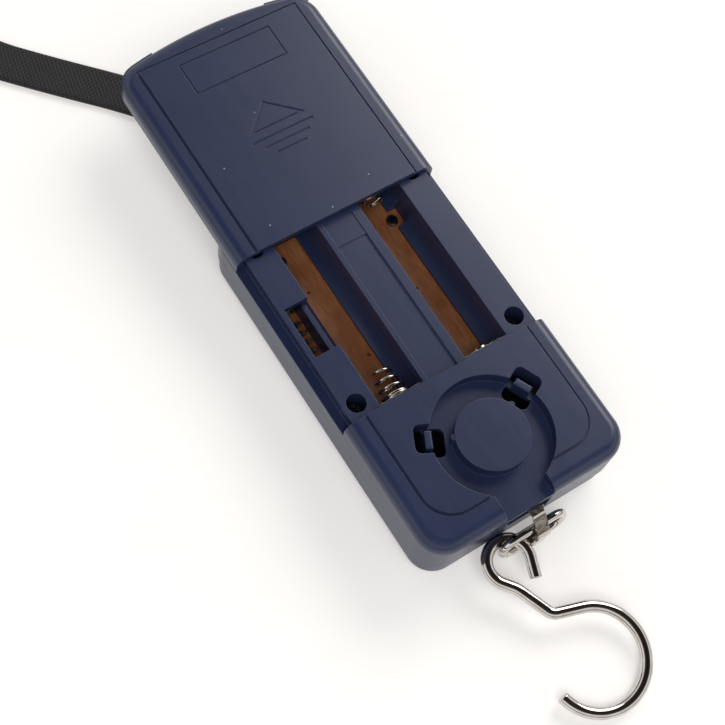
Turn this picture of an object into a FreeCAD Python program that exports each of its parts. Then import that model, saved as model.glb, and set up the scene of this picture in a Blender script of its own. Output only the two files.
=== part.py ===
import FreeCAD, Part
import math
import os
import Sketcher
from FreeCAD import Placement, Rotation, Vector

# A hand-held digital hanging scale, lying on its display face with the battery side up.
# The origin is the middle of the display face. +Y runs to the strap end, -Y to the hook,
# +X to the right seen from the battery side, +Z up out of the battery side.
# Sizes are millimetres and degrees.

SIZES = {
    # casing
    "case_length": 99.0,
    "case_width": 56.0,
    "case_corner": 7.0,
    "end_bulge": 2.0,
    "wall": 1.8,
    "floor_wall": 2.0,
    "parting_level": 9.2,
    "ledge_rise": 6.6,
    "deck_rise": 3.8,
    "cover_wall": 1.6,
    "panel_rise": 0.5,
    "groove_width": 0.6,
    "groove_depth": 0.35,
    "ledge_width": 2.4,
    "lower_inset": 0.5,
    "edge_round": 4.0,
    "rim_round": 3.0,
    "hook_zone": 36.5,
    "panel_half_width": 22.3,
    "panel_margin": 6.5,
    "panel_corner": 7.5,
    "ceiling_wall": 1.65,
    # well that stows the hook
    "well_from_end": 18.15,
    "well_radius": 14.6,
    "well_boss_radius": 8.85,
    "well_depth": 3.66,
    "channel_left": 8.0,
    "channel_right": 5.3,
    "window_inner": 10.5,
    "window_outer": 18.3,
    "window_half_width": 3.5,
    "window_corner": 1.6,
    "window_angle": 26.0,
    "catch_inner": 13.9,
    "catch_outer": 15.7,
    "catch_half_width": 2.2,
    "catch_drop": 0.7,
    # battery bays
    "bay_spacing": 23.8,
    "bay_width": 12.0,
    "bay_length": 54.0,
    "bay_start": 1.0,
    "bay_slot": 7.0,
    "rib_web": 1.0,
    "rib_panel_left": 4.6,
    "rib_panel_right": 3.6,
    "rib_panel_end": 48.9,
    "rib_panel_step": 39.9,
    "rib_panel_depth": 0.3,
    # case screws
    "screw_spacing": 44.6,
    "screw_first": 4.1,
    "screw_second": 49.0,
    "screw_well_radius": 2.4,
    "screw_head_radius": 2.15,
    "screw_head_height": 1.7,
    "screw_radius": 1.2,
    "screw_depth": 6.1,
    "screw_grip": 9.0,
    "boss_radius": 3.5,
    # setting port beside the left bay
    "port_left": 24.4,
    "port_right": 19.2,
    "port_wall_drop": 4.2,
    "port_low": 18.3,
    "port_high": 32.2,
    # cover and its rails
    "cover_gap": 0.3,
    "cover_open": 47.0,
    "rail_depth": 0.8,
    "rail_height": 1.2,
    "rail_rise": 0.8,
    "rail_gap": 0.25,
    "cover_lip_length": 50.0,
    "cover_end_round": 4.0,
    "mark_depth": 0.3,
    # display
    "view_width": 36.0,
    "view_height": 24.0,
    "view_middle": 14.0,
    "view_rebate": 1.2,
    "lens_thickness": 1.2,
    "lens_recess": 0.3,
    "fit_gap": 0.2,
    "glass_thickness": 2.8,
    "glass_margin": 2.0,
    # buttons
    "button_row": 20.0,
    "button_pitch": 15.0,
    "button_width": 11.0,
    "button_height": 6.4,
    "button_recess": 0.5,
    "button_travel": 0.8,
    "button_flange": 1.0,
    "flange_thickness": 0.8,
    # circuit board
    "board_thickness": 1.2,
    "board_gap": 0.2,
    "board_half_width": 19.2,
    "board_tail": 7.0,
    "board_margin": 0.4,
    "board_screw_radius": 0.7,
    "board_screw_inset": 4.0,
    "board_screw_right": 42.6,
    "board_screw_left": 46.0,
    "thread_gap": 0.05,
    "pad_sheet": 0.9,
    "header_pitch": 2.54,
    # load path
    "cell_width": 9.0,
    "cell_thickness": 5.5,
    "cell_length": 34.0,
    "cell_from_end": 3.0,
    "band_width": 3.4,
    "band_thickness": 0.6,
    "band_shift": 0.3,
    "link_wire": 1.0,
    "link_length": 19.2,
    "link_width": 9.0,
    "link_lean": 7.0,
    "link_shift": 0.4,
    "link_out": 3.75,
    "link_height": 7.6,
    "hook_wire": 1.5,
    "hook_eye_radius": 5.3,
    "hook_bend_radius": 12.0,
    "hook_tilt": 7.9,
    "hook_eye_left": 8.9,
    "hook_eye_out": 6.4,
    "hook_scoop": 1.3,
    "hook_scoop_height": 4.4,
    # strap
    "strap_width": 11.0,
    "strap_thickness": 1.4,
    "strap_pin_radius": 1.0,
    "strap_pin_length": 30.0,
    "strap_pin_from_end": 7.5,
    "lug_half": 3.0,
    "keeper_length": 8.0,
}

os.makedirs("parts", exist_ok=True)
doc = FreeCAD.newDocument("fish_scale")
sheet = doc.addObject("Spreadsheet::Sheet", "sizes")
for row, (alias, value) in enumerate(SIZES.items(), start=1):
    sheet.set(f"A{row}", alias)
    sheet.set(f"B{row}", str(value))
    sheet.setAlias(f"B{row}", alias)
doc.recompute()


class Size:
    """A size with its value and the expression on the sheet that drives it."""

    def __init__(self, value, text):
        self.value = float(value)
        self.text = text

    def __add__(self, other):
        return Size(self.value + number(other), f"({self.text} + {text(other)})")

    def __sub__(self, other):
        return Size(self.value - number(other), f"({self.text} - {text(other)})")

    def __mul__(self, other):
        return Size(self.value * number(other), f"({self.text} * {text(other)})")

    def __truediv__(self, other):
        return Size(self.value / number(other), f"({self.text} / {text(other)})")

    def __radd__(self, other):
        return Size(number(other) + self.value, f"({text(other)} + {self.text})")

    def __rsub__(self, other):
        return Size(number(other) - self.value, f"({text(other)} - {self.text})")

    def __rmul__(self, other):
        return Size(number(other) * self.value, f"({text(other)} * {self.text})")

    def __neg__(self):
        return Size(-self.value, f"(-{self.text})")


def number(value):
    return value.value if isinstance(value, Size) else float(value)


def text(value):
    return value.text if isinstance(value, Size) else repr(float(value))


class Sheet:
    """The sheet's cells as sizes: S.wall is the cell named wall."""

    def __getattr__(self, alias):
        return Size(SIZES[alias], f"sizes.{alias}")


S = Sheet()
ledge_level = S.parting_level + S.ledge_rise
deck_level = ledge_level + S.deck_rise
rim_level = deck_level + S.cover_wall
hook_end = -(S.case_length / 2)
strap_end = S.case_length / 2
step_line = hook_end + S.hook_zone
side = S.case_width / 2
deck_side = side - S.ledge_width
deck_end = strap_end - S.ledge_width
back_level = rim_level + S.panel_rise
screw_seat = deck_level - S.screw_depth
well_y = hook_end + S.well_from_end
well_floor = back_level - S.well_depth
hollow_top = well_floor - S.ceiling_wall
bay_low = step_line + S.bay_start
bay_high = bay_low + S.bay_length
board_top = S.parting_level - S.board_gap
board_bottom = board_top - S.board_thickness
pin_y = strap_end - S.strap_pin_from_end
board_end = pin_y - S.lug_half - S.board_margin
screw_rows = (step_line + S.screw_first, step_line + S.screw_second)
lower_side = side - S.lower_inset

# ---------------------------------------------------------------- sketch helpers


def new_body(name):
    body = doc.addObject("PartDesign::Body", name)
    body.Label = name
    return body


def sketch_on(body, role, height=0.0, base=(0.0, 0.0), turn=0.0):
    """A sketch on one of the body's own planes, lifted by height along the plane's normal."""
    plane = next(f for f in body.Origin.OriginFeatures if f.Role == role)
    sketch = body.newObject("Sketcher::SketchObject", f"{body.Name}_sketch")
    sketch.AttachmentSupport = [(plane, "")]
    sketch.MapMode = "FlatFace"
    place = Vector(number(base[0]), number(base[1]), number(height))
    sketch.AttachmentOffset = Placement(place, Rotation(Vector(0, 0, 1), number(turn)))
    for axis, value in zip("xyz", (base[0], base[1], height)):
        if isinstance(value, Size):
            sketch.setExpression(f".AttachmentOffset.Base.{axis}", value.text)
    return sketch


def hold(sketch, kind, geometry, point, value):
    """Hold one coordinate of a point, kind DistanceX or DistanceY, from the sketch's origin."""
    if number(value) == 0:
        axis = -2 if kind == "DistanceX" else -1
        sketch.addConstraint(Sketcher.Constraint("PointOnObject", geometry, point, axis))
        return
    ahead = number(value) > 0
    ends = (-1, 1, geometry, point) if ahead else (geometry, point, -1, 1)
    index = sketch.addConstraint(Sketcher.Constraint(kind, *ends, abs(number(value))))
    if isinstance(value, Size):
        driven = value if ahead else -value
        sketch.setExpression(f"Constraints[{index}]", driven.text)


def hold_radius(sketch, geometry, radius):
    index = sketch.addConstraint(Sketcher.Constraint("Radius", geometry, number(radius)))
    if isinstance(radius, Size):
        sketch.setExpression(f"Constraints[{index}]", radius.text)


def at(x, y):
    return Vector(number(x), number(y), 0)


def polar(centre, radius, degrees):
    a = math.radians(degrees)
    return centre + Vector(radius * math.cos(a), radius * math.sin(a), 0)


def heading(degrees):
    return polar(Vector(), 1.0, degrees)


def arc_at(x, y, radius, start, end):
    circle = Part.Circle(at(x, y), Vector(0, 0, 1), number(radius))
    return Part.ArcOfCircle(circle, math.radians(start), math.radians(end))


def circle(sketch, x, y, radius):
    shape = Part.Circle(at(x, y), Vector(0, 0, 1), number(radius))
    index = sketch.addGeometry(shape, False)
    hold_radius(sketch, index, radius)
    hold(sketch, "DistanceX", index, 3, x)
    hold(sketch, "DistanceY", index, 3, y)


def polygon(sketch, points):
    """A closed outline of straight sides through points, each held at its own place."""
    first = sketch.GeometryCount
    count = len(points)
    for i, (x, y) in enumerate(points):
        x_next, y_next = points[(i + 1) % count]
        sketch.addGeometry(Part.LineSegment(at(x, y), at(x_next, y_next)), False)
    for i in range(count):
        joined = first + (i + 1) % count
        sketch.addConstraint(Sketcher.Constraint("Coincident", first + i, 2, joined, 1))
    for i, (x, y) in enumerate(points):
        hold(sketch, "DistanceX", first + i, 1, x)
        hold(sketch, "DistanceY", first + i, 1, y)


def rectangle(sketch, left, right, low, high):
    polygon(sketch, [(left, low), (right, low), (right, high), (left, high)])


def join_tangent(sketch, first, count):
    for i in range(count):
        after = first + (i + 1) % count
        sketch.addConstraint(Sketcher.Constraint("Tangent", first + i, 2, after, 1))


def rounded_rectangle(sketch, left, right, low, high, radius):
    x0, x1, y0, y1 = (number(v) for v in (left, right, low, high))
    c = number(radius)
    first = sketch.GeometryCount
    sketch.addGeometry(Part.LineSegment(at(x0 + c, y0), at(x1 - c, y0)), False)
    sketch.addGeometry(arc_at(x1 - c, y0 + c, c, 270, 360), False)
    sketch.addGeometry(Part.LineSegment(at(x1, y0 + c), at(x1, y1 - c)), False)
    sketch.addGeometry(arc_at(x1 - c, y1 - c, c, 0, 90), False)
    sketch.addGeometry(Part.LineSegment(at(x1 - c, y1), at(x0 + c, y1)), False)
    sketch.addGeometry(arc_at(x0 + c, y1 - c, c, 90, 180), False)
    sketch.addGeometry(Part.LineSegment(at(x0, y1 - c), at(x0, y0 + c)), False)
    sketch.addGeometry(arc_at(x0 + c, y0 + c, c, 180, 270), False)
    join_tangent(sketch, first, 8)
    for line in (0, 4):
        sketch.addConstraint(Sketcher.Constraint("Horizontal", first + line))
    for line in (2, 6):
        sketch.addConstraint(Sketcher.Constraint("Vertical", first + line))
    for arc in (3, 5, 7):
        sketch.addConstraint(Sketcher.Constraint("Equal", first + 1, first + arc))
    hold_radius(sketch, first + 1, radius)
    hold(sketch, "DistanceY", first, 1, low)
    hold(sketch, "DistanceX", first + 2, 1, right)
    hold(sketch, "DistanceY", first + 4, 1, high)
    hold(sketch, "DistanceX", first + 6, 1, left)


# The strap end of the casing is a shallow arc whose radius follows from its bulge.
half_chord = S.case_width / 2 - S.case_corner
bulge_radius = (half_chord * half_chord + S.end_bulge * S.end_bulge) / (2 * S.end_bulge)


def case_outline(sketch, inset, low=None, low_corner=None):
    """The casing's plan outline, set in by inset, from low to its arched strap end.

    With low_corner of 0 the outline is cut square at low.
    """
    low = hook_end + inset if low is None else low
    corner = S.case_corner - inset
    half = side - inset
    arch = bulge_radius - inset
    arch_y = strap_end - bulge_radius
    w, c, b = number(half), number(corner), number(arch)
    y0, ya = number(low), number(arch_y)
    yc = ya + math.sqrt((b - c) ** 2 - (w - c) ** 2)
    lean = math.degrees(math.atan2(yc - ya, w - c))
    square = low_corner == 0
    first = sketch.GeometryCount
    k = 0 if square else c
    sketch.addGeometry(Part.LineSegment(at(k - w, y0), at(w - k, y0)), False)
    if not square:
        sketch.addGeometry(arc_at(w - c, y0 + c, c, 270, 360), False)
    sketch.addGeometry(Part.LineSegment(at(w, y0 + k), at(w, yc)), False)
    sketch.addGeometry(arc_at(w - c, yc, c, 0, lean), False)
    sketch.addGeometry(arc_at(0, ya, b, lean, 180 - lean), False)
    sketch.addGeometry(arc_at(c - w, yc, c, 180 - lean, 180), False)
    sketch.addGeometry(Part.LineSegment(at(-w, yc), at(-w, y0 + k)), False)
    if not square:
        sketch.addGeometry(arc_at(c - w, y0 + c, c, 180, 270), False)
    right = first + (1 if square else 2)
    left = right + 4
    last = sketch.GeometryCount - 1
    for i in range(first, last + 1):
        after = first if i == last else i + 1
        corner_joint = square and first in (i, after)
        kind = "Coincident" if corner_joint else "Tangent"
        sketch.addConstraint(Sketcher.Constraint(kind, i, 2, after, 1))
    sketch.addConstraint(Sketcher.Constraint("Horizontal", first))
    sketch.addConstraint(Sketcher.Constraint("Vertical", right))
    sketch.addConstraint(Sketcher.Constraint("Vertical", left))
    sketch.addConstraint(Sketcher.Constraint("Equal", right + 1, right + 3))
    hold_radius(sketch, right + 1, corner)
    if not square:
        sketch.addConstraint(Sketcher.Constraint("Equal", first + 1, last))
        hold_radius(sketch, last, corner)
    hold_radius(sketch, right + 2, arch)
    hold(sketch, "DistanceX", right + 2, 3, 0)
    hold(sketch, "DistanceY", right + 2, 3, arch_y)
    hold(sketch, "DistanceY", first, 1, low)
    hold(sketch, "DistanceX", right, 1, half)
    hold(sketch, "DistanceX", left, 1, -half)


# ---------------------------------------------------------------- feature helpers


def volume_of(body):
    doc.recompute()
    return body.Shape.Volume if body.Tip else 0.0


def add_feature(body, kind, sketch, length, backwards=False):
    """A Pad or Pocket of a sketch, with its volume compared before and after."""
    before = volume_of(body)
    feature = body.newObject(f"PartDesign::{kind}", f"{body.Name}_{kind.lower()}")
    feature.Profile = sketch
    feature.Reversed = backwards
    feature.Length = number(length)
    if isinstance(length, Size):
        feature.setExpression("Length", length.text)
    after = volume_of(body)
    grew = after > before + 1e-6
    shrank = after < before - 1e-6
    if not (grew if kind == "Pad" else shrank):
        raise RuntimeError(f"{feature.Name} on {body.Label} changed nothing")
    return feature


def pad(body, sketch, length, backwards=False):
    return add_feature(body, "Pad", sketch, length, backwards)


def pocket(body, sketch, length, backwards=False):
    return add_feature(body, "Pocket", sketch, length, backwards)


def edges_where(feature, test):
    return [f"Edge{i}" for i, edge in enumerate(feature.Shape.Edges, 1) if test(edge)]


def dress(body, kind, base, test, radius):
    """A Fillet or Chamfer of the edges that test picks."""
    names = edges_where(base, test)
    if not names:
        raise RuntimeError(f"no edge to dress on {body.Label}")
    feature = body.newObject(f"PartDesign::{kind}", f"{body.Name}_{kind.lower()}")
    feature.Base = (base, names)
    prop = "Radius" if kind == "Fillet" else "Size"
    setattr(feature, prop, number(radius))
    if isinstance(radius, Size):
        feature.setExpression(prop, radius.text)
    doc.recompute()
    return feature


def level(edge, z, tolerance=1e-4):
    """Whether an edge lies all along one height."""
    box = edge.BoundBox
    z = number(z)
    return abs(box.ZMin - z) < tolerance and abs(box.ZMax - z) < tolerance


def away_from(edge, y):
    """Whether an edge isn't the straight one across the casing at y."""
    box = edge.BoundBox
    y = number(y)
    return not (abs(box.YMin - y) < 1e-4 and abs(box.YMax - y) < 1e-4)


def plain(name, shape):
    """A sub-part whose shape is worked out here from the sheet's sizes."""
    feature = doc.addObject("Part::Feature", name)
    feature.Label = name
    feature.Shape = shape
    return feature


def swept(points, radii, profile, name):
    """A rod along straight runs joined by tangent arcs, one radius per inner point."""
    edges = []
    start = points[0]
    for i, corner in enumerate(points[1:-1], start=1):
        into = (corner - points[i - 1]).normalize()
        out = (points[i + 1] - corner).normalize()
        turn = into.getAngle(out)
        back = radii[i - 1] * math.tan(turn / 2)
        arc_start = corner - into * back
        arc_end = corner + out * back
        middle = (out - into).normalize() * (radii[i - 1] / math.cos(turn / 2) - radii[i - 1])
        if (arc_start - start).Length > 1e-6:
            edges.append(Part.LineSegment(start, arc_start).toShape())
        edges.append(Part.Arc(arc_start, corner + middle, arc_end).toShape())
        start = arc_end
    edges.append(Part.LineSegment(start, points[-1]).toShape())
    return sweep_edges(edges, profile, name)


def sweep_edges(edges, profile, name):
    spine = Part.Wire(edges)
    solid = spine.makePipeShell([profile], True, True)
    expected = Part.Face(profile).Area * spine.Length
    if abs(solid.Volume / expected - 1) > 0.02:
        raise RuntimeError(f"{name} has volume {solid.Volume:.1f}, not {expected:.1f}")
    return solid


def rod(edges, radius, name):
    """Round wire along joined straight and round edges, from cylinders and rings."""
    pieces = []
    for edge in edges:
        begin = edge.valueAt(edge.FirstParameter)
        finish = edge.valueAt(edge.LastParameter)
        if isinstance(edge.Curve, Part.Line):
            pieces.append(Part.makeCylinder(radius, edge.Length, begin, finish - begin))
            continue
        disc = Part.Face(ring_profile(begin, edge.tangentAt(edge.FirstParameter), radius))
        turn = math.degrees(edge.Length / edge.Curve.Radius)
        pieces.append(disc.revolve(edge.Curve.Center, edge.Curve.Axis, turn))
    solid = pieces[0].multiFuse(pieces[1:]).removeSplitter()
    expected = math.pi * radius**2 * sum(edge.Length for edge in edges)
    if len(solid.Solids) != 1 or abs(solid.Volume / expected - 1) > 0.02:
        raise RuntimeError(f"{name} has volume {solid.Volume:.1f}, not {expected:.1f}")
    return solid.Solids[0]


def ring_profile(centre, direction, radius):
    return Part.Wire([Part.Circle(centre, direction, radius).toShape()])


nodes = []

# ---------------------------------------------------------------- front case

front = new_body("front_case")
nodes.append(front)
sketch = sketch_on(front, "XY_Plane")
case_outline(sketch, S.lower_inset)
base = pad(front, sketch, S.parting_level)
dress(front, "Fillet", base, lambda e: level(e, 0), S.edge_round)
sketch = sketch_on(front, "XY_Plane", S.parting_level)
case_outline(sketch, S.lower_inset + S.wall)
pocket(front, sketch, S.parting_level - S.floor_wall)

# A scoop in the end wall, round the hook's eye, leaves it room as the link swings up.
scoop_radius = S.hook_eye_radius + S.hook_wire + S.hook_scoop
sketch = sketch_on(front, "XY_Plane", S.parting_level)
circle(sketch, -S.hook_eye_left, hook_end - S.hook_eye_out, scoop_radius)
pocket(front, sketch, S.hook_scoop_height)

# Rebate and opening for the display lens, and a hole for each button.
sketch = sketch_on(front, "XY_Plane")
rounded_rectangle(
    sketch,
    -(S.view_width / 2) - S.view_rebate,
    S.view_width / 2 + S.view_rebate,
    S.view_middle - S.view_height / 2 - S.view_rebate,
    S.view_middle + S.view_height / 2 + S.view_rebate,
    S.view_rebate + 1,
)
pocket(front, sketch, S.lens_thickness + S.lens_recess, backwards=True)
sketch = sketch_on(front, "XY_Plane")
rounded_rectangle(
    sketch,
    -(S.view_width / 2),
    S.view_width / 2,
    S.view_middle - S.view_height / 2,
    S.view_middle + S.view_height / 2,
    1.0,
)
pocket(front, sketch, S.floor_wall, backwards=True)
button_gap = 0.3
for place in (-1, 0, 1):
    sketch = sketch_on(front, "XY_Plane")
    rounded_rectangle(
        sketch,
        S.button_pitch * place - S.button_width / 2 - button_gap,
        S.button_pitch * place + S.button_width / 2 + button_gap,
        -S.button_row - S.button_height / 2 - button_gap,
        -S.button_row + S.button_height / 2 + button_gap,
        S.button_height / 2,
    )
    pocket(front, sketch, S.floor_wall, backwards=True)

# Screw bosses, and two posts that carry the circuit board.
post_places = (
    (S.board_half_width - S.board_screw_inset, bay_low + S.board_screw_right),
    (S.board_screw_inset - S.board_half_width, bay_low + S.board_screw_left),
)
sketch = sketch_on(front, "XY_Plane", S.floor_wall - 0.5)
for sign in (-1, 1):
    for y in screw_rows:
        circle(sketch, S.screw_spacing / 2 * sign, y, S.boss_radius)
pad(front, sketch, S.parting_level - S.floor_wall + 0.5)
sketch = sketch_on(front, "XY_Plane", S.parting_level)
for sign in (-1, 1):
    for y in screw_rows:
        circle(sketch, S.screw_spacing / 2 * sign, y, S.screw_radius + S.thread_gap)
pocket(front, sketch, S.parting_level - screw_seat + S.screw_grip + 1.5)
sketch = sketch_on(front, "XY_Plane", S.floor_wall - 0.5)
for x, y in post_places:
    circle(sketch, x, y, 2.2)
pad(front, sketch, board_bottom - S.floor_wall + 0.5)
sketch = sketch_on(front, "XY_Plane", board_bottom)
for x, y in post_places:
    circle(sketch, x, y, S.board_screw_radius + S.thread_gap)
pocket(front, sketch, 4.0)

# Slot for the strap in the strap-end wall, half in each shell.
slot_width = S.strap_width + 1.4
slot_low = S.parting_level - 5.4
sketch = sketch_on(front, "XY_Plane", S.parting_level)
rectangle(sketch, -slot_width / 2, slot_width / 2, strap_end - S.wall - 2.5, strap_end + 1)
pocket(front, sketch, S.parting_level - slot_low)

# ---------------------------------------------------------------- rear case

rear = new_body("rear_case")
nodes.append(rear)
sketch = sketch_on(rear, "XY_Plane", S.parting_level)
case_outline(sketch, 0.0)
pad(rear, sketch, ledge_level - S.parting_level)

# Hook zone: a block with rounded rim and a raised panel on it, and a groove round the panel.


def hook_block(sketch, half, low, high, corner):
    """A rectangle whose two corners towards the hook are rounded."""
    w, y0, y1, c = (number(v) for v in (half, low, high, corner))
    first = sketch.GeometryCount
    sketch.addGeometry(Part.LineSegment(at(c - w, y0), at(w - c, y0)), False)
    sketch.addGeometry(arc_at(w - c, y0 + c, c, 270, 360), False)
    sketch.addGeometry(Part.LineSegment(at(w, y0 + c), at(w, y1)), False)
    sketch.addGeometry(Part.LineSegment(at(w, y1), at(-w, y1)), False)
    sketch.addGeometry(Part.LineSegment(at(-w, y1), at(-w, y0 + c)), False)
    sketch.addGeometry(arc_at(c - w, y0 + c, c, 180, 270), False)
    joints = ("Tangent", "Tangent", "Coincident", "Coincident", "Tangent", "Tangent")
    for i, kind in enumerate(joints):
        after = first + (i + 1) % 6
        sketch.addConstraint(Sketcher.Constraint(kind, first + i, 2, after, 1))
    for line in (0, 3):
        sketch.addConstraint(Sketcher.Constraint("Horizontal", first + line))
    for line in (2, 4):
        sketch.addConstraint(Sketcher.Constraint("Vertical", first + line))
    sketch.addConstraint(Sketcher.Constraint("Equal", first + 1, first + 5))
    hold_radius(sketch, first + 1, corner)
    hold(sketch, "DistanceY", first, 1, low)
    hold(sketch, "DistanceY", first + 3, 1, high)
    hold(sketch, "DistanceX", first + 2, 1, half)
    hold(sketch, "DistanceX", first + 4, 1, -half)


sketch = sketch_on(rear, "XY_Plane", ledge_level)
hook_block(sketch, side, hook_end, step_line, S.case_corner)
base = pad(rear, sketch, rim_level - ledge_level)
dress(
    rear,
    "Fillet",
    base,
    lambda e: level(e, rim_level) and away_from(e, step_line),
    S.rim_round,
)
sketch = sketch_on(rear, "XY_Plane", rim_level - 0.2)
hook_block(
    sketch, S.panel_half_width, hook_end + S.panel_margin, step_line, S.panel_corner
)
pad(rear, sketch, S.panel_rise + 0.2)
sketch = sketch_on(rear, "XY_Plane", rim_level)
hook_block(
    sketch,
    S.panel_half_width + S.groove_width,
    hook_end + S.panel_margin - S.groove_width,
    step_line + 2,
    S.panel_corner + S.groove_width,
)
hook_block(
    sketch, S.panel_half_width, hook_end + S.panel_margin, step_line + 1, S.panel_corner
)
pocket(rear, sketch, S.groove_depth)

# Deck that carries the bays and that the cover slides over.
sketch = sketch_on(rear, "XY_Plane", ledge_level)
rounded_rectangle(
    sketch, -deck_side, deck_side, step_line - 6, deck_end, S.case_corner - S.ledge_width
)
pad(rear, sketch, deck_level - ledge_level)

# Hollow under the hook zone, the centre rib, both flanks and the strap end.
hollows = (
    (-side + S.wall, side - S.wall, hook_end + S.wall, step_line - 1.4, hollow_top, 5.2),
    (
        -(S.bay_spacing / 2) + S.bay_width / 2 + S.rib_web,
        S.bay_spacing / 2 - S.bay_width / 2 - S.rib_web,
        step_line - 3,
        bay_high + 1,
        hollow_top,
        0.4,
    ),
    (
        -deck_side + 1.4,
        -(S.bay_spacing / 2) - S.bay_width / 2 - 1.2,
        bay_low,
        bay_high + 1,
        deck_level - 1.8,
        0.4,
    ),
    (
        S.bay_spacing / 2 + S.bay_width / 2 + 1.2,
        deck_side - 1.4,
        bay_low,
        bay_high + 1,
        deck_level - 1.8,
        0.4,
    ),
    (
        -side + S.wall + 5,
        side - S.wall - 5,
        bay_high + 1.4,
        strap_end - S.wall - 0.5,
        ledge_level - 1.4,
        0.4,
    ),
)
for left, right, low, high, top, round_off in hollows:
    sketch = sketch_on(rear, "XY_Plane", S.parting_level)
    rounded_rectangle(sketch, left, right, low, high, round_off)
    pocket(rear, sketch, top - S.parting_level, backwards=True)

# Bosses for the case screws stand in the flanks.
sketch = sketch_on(rear, "XY_Plane", S.parting_level)
for sign in (-1, 1):
    for y in screw_rows:
        circle(sketch, S.screw_spacing / 2 * sign, y, S.boss_radius)
pad(rear, sketch, deck_level - S.parting_level - 1)
sketch = sketch_on(rear, "XY_Plane", deck_level)
for sign in (-1, 1):
    for y in screw_rows:
        circle(sketch, S.screw_spacing / 2 * sign, y, S.screw_well_radius)
pocket(rear, sketch, deck_level - screw_seat)
sketch = sketch_on(rear, "XY_Plane", screw_seat)
for sign in (-1, 1):
    for y in screw_rows:
        circle(sketch, S.screw_spacing / 2 * sign, y, S.screw_radius + S.fit_gap)
pocket(rear, sketch, screw_seat - S.parting_level)

# Each bay is a trough for one cell, open to the board through a slot in its floor.
bay_radius = S.bay_width / 2
trough_level = S.parting_level + bay_radius - 0.2
for sign in (-1, 1):
    middle = S.bay_spacing / 2 * sign
    sketch = sketch_on(rear, "XZ_Plane", -bay_low)
    x, z = number(middle), number(trough_level)
    r, top = number(bay_radius), number(deck_level) + 1
    sketch.addGeometry(arc_at(x, z, r, 180, 360), False)
    sketch.addGeometry(Part.LineSegment(at(x + r, z), at(x + r, top)), False)
    sketch.addGeometry(Part.LineSegment(at(x + r, top), at(x - r, top)), False)
    sketch.addGeometry(Part.LineSegment(at(x - r, top), at(x - r, z)), False)
    for i, kind in enumerate(("Tangent", "Coincident", "Coincident", "Tangent")):
        sketch.addConstraint(Sketcher.Constraint(kind, i, 2, (i + 1) % 4, 1))
    sketch.addConstraint(Sketcher.Constraint("Vertical", 1))
    sketch.addConstraint(Sketcher.Constraint("Horizontal", 2))
    hold_radius(sketch, 0, bay_radius)
    hold(sketch, "DistanceX", 0, 3, middle)
    hold(sketch, "DistanceY", 0, 3, trough_level)
    hold(sketch, "DistanceY", 2, 1, deck_level + 1)
    hold(sketch, "DistanceX", 3, 1, middle - bay_radius)
    pocket(rear, sketch, S.bay_length)
    sketch = sketch_on(rear, "XY_Plane", S.parting_level)
    rectangle(sketch, middle - S.bay_slot / 2, middle + S.bay_slot / 2, bay_low, bay_high)
    pocket(rear, sketch, 2.0, backwards=True)

# The troughs are notched round the heads of the board's two screws.
notch_half = 2.6
for x, y in post_places:
    sketch = sketch_on(rear, "XY_Plane", S.parting_level)
    rectangle(sketch, x - notch_half + 0.2, x + notch_half, y - notch_half, y + notch_half)
    pocket(rear, sketch, 4.6, backwards=True)

# Setting port beside the left bay, behind a wall lower than the deck.
port_low = step_line + S.port_low
port_high = step_line + S.port_high
sketch = sketch_on(rear, "XY_Plane", deck_level)
rectangle(sketch, -S.port_left, -S.port_right, port_low, port_high)
pocket(rear, sketch, deck_level - S.parting_level)
sketch = sketch_on(rear, "XY_Plane", deck_level)
rectangle(sketch, -S.port_left, bay_radius - S.bay_spacing / 2 - S.bay_width, port_low, port_high)
pocket(rear, sketch, S.port_wall_drop)

# The centre rib is sunk between two borders, in two steps, and has a catch at its strap end.
for end, steps in ((S.rib_panel_end, 1), (S.rib_panel_step, 2)):
    sketch = sketch_on(rear, "XY_Plane", deck_level)
    rectangle(sketch, -S.rib_panel_left, S.rib_panel_right, step_line, step_line + end)
    pocket(rear, sketch, S.rib_panel_depth * steps)
catch_x = 1.4
catch_y = step_line + S.rib_panel_end + 1.3
sketch = sketch_on(rear, "XY_Plane", deck_level)
rounded_rectangle(sketch, catch_x - 3, catch_x + 3, catch_y - 1.1, catch_y + 1.1, 1.0)
pocket(rear, sketch, 1.6)
sketch = sketch_on(rear, "XY_Plane", deck_level - 1.8)
rectangle(sketch, catch_x - 2.6, catch_x + 2.6, catch_y - 0.4, catch_y + 0.4)
bar = pad(rear, sketch, 1.7)
dress(rear, "Fillet", bar, lambda e: level(e, deck_level - 0.1), 0.3)

# Round well that the hook folds into, its mouth to the hook end, and its two catch windows.
sketch = sketch_on(rear, "XY_Plane", back_level)
circle(sketch, 0, well_y, S.well_radius)
circle(sketch, 0, well_y, S.well_boss_radius)
pocket(rear, sketch, S.well_depth)
sketch = sketch_on(rear, "XY_Plane", back_level)
mouth_top = well_y - S.well_boss_radius - 3
rectangle(sketch, -S.channel_left, S.channel_right, hook_end - 1, mouth_top)
pocket(rear, sketch, S.well_depth)
for turn in (S.window_angle, 180 - S.window_angle):
    sketch = sketch_on(rear, "XY_Plane", back_level, (0.0, well_y), turn)
    rounded_rectangle(
        sketch,
        S.window_inner,
        S.window_outer,
        -S.window_half_width,
        S.window_half_width,
        S.window_corner,
    )
    pocket(rear, sketch, back_level - hollow_top + 0.5)

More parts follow.
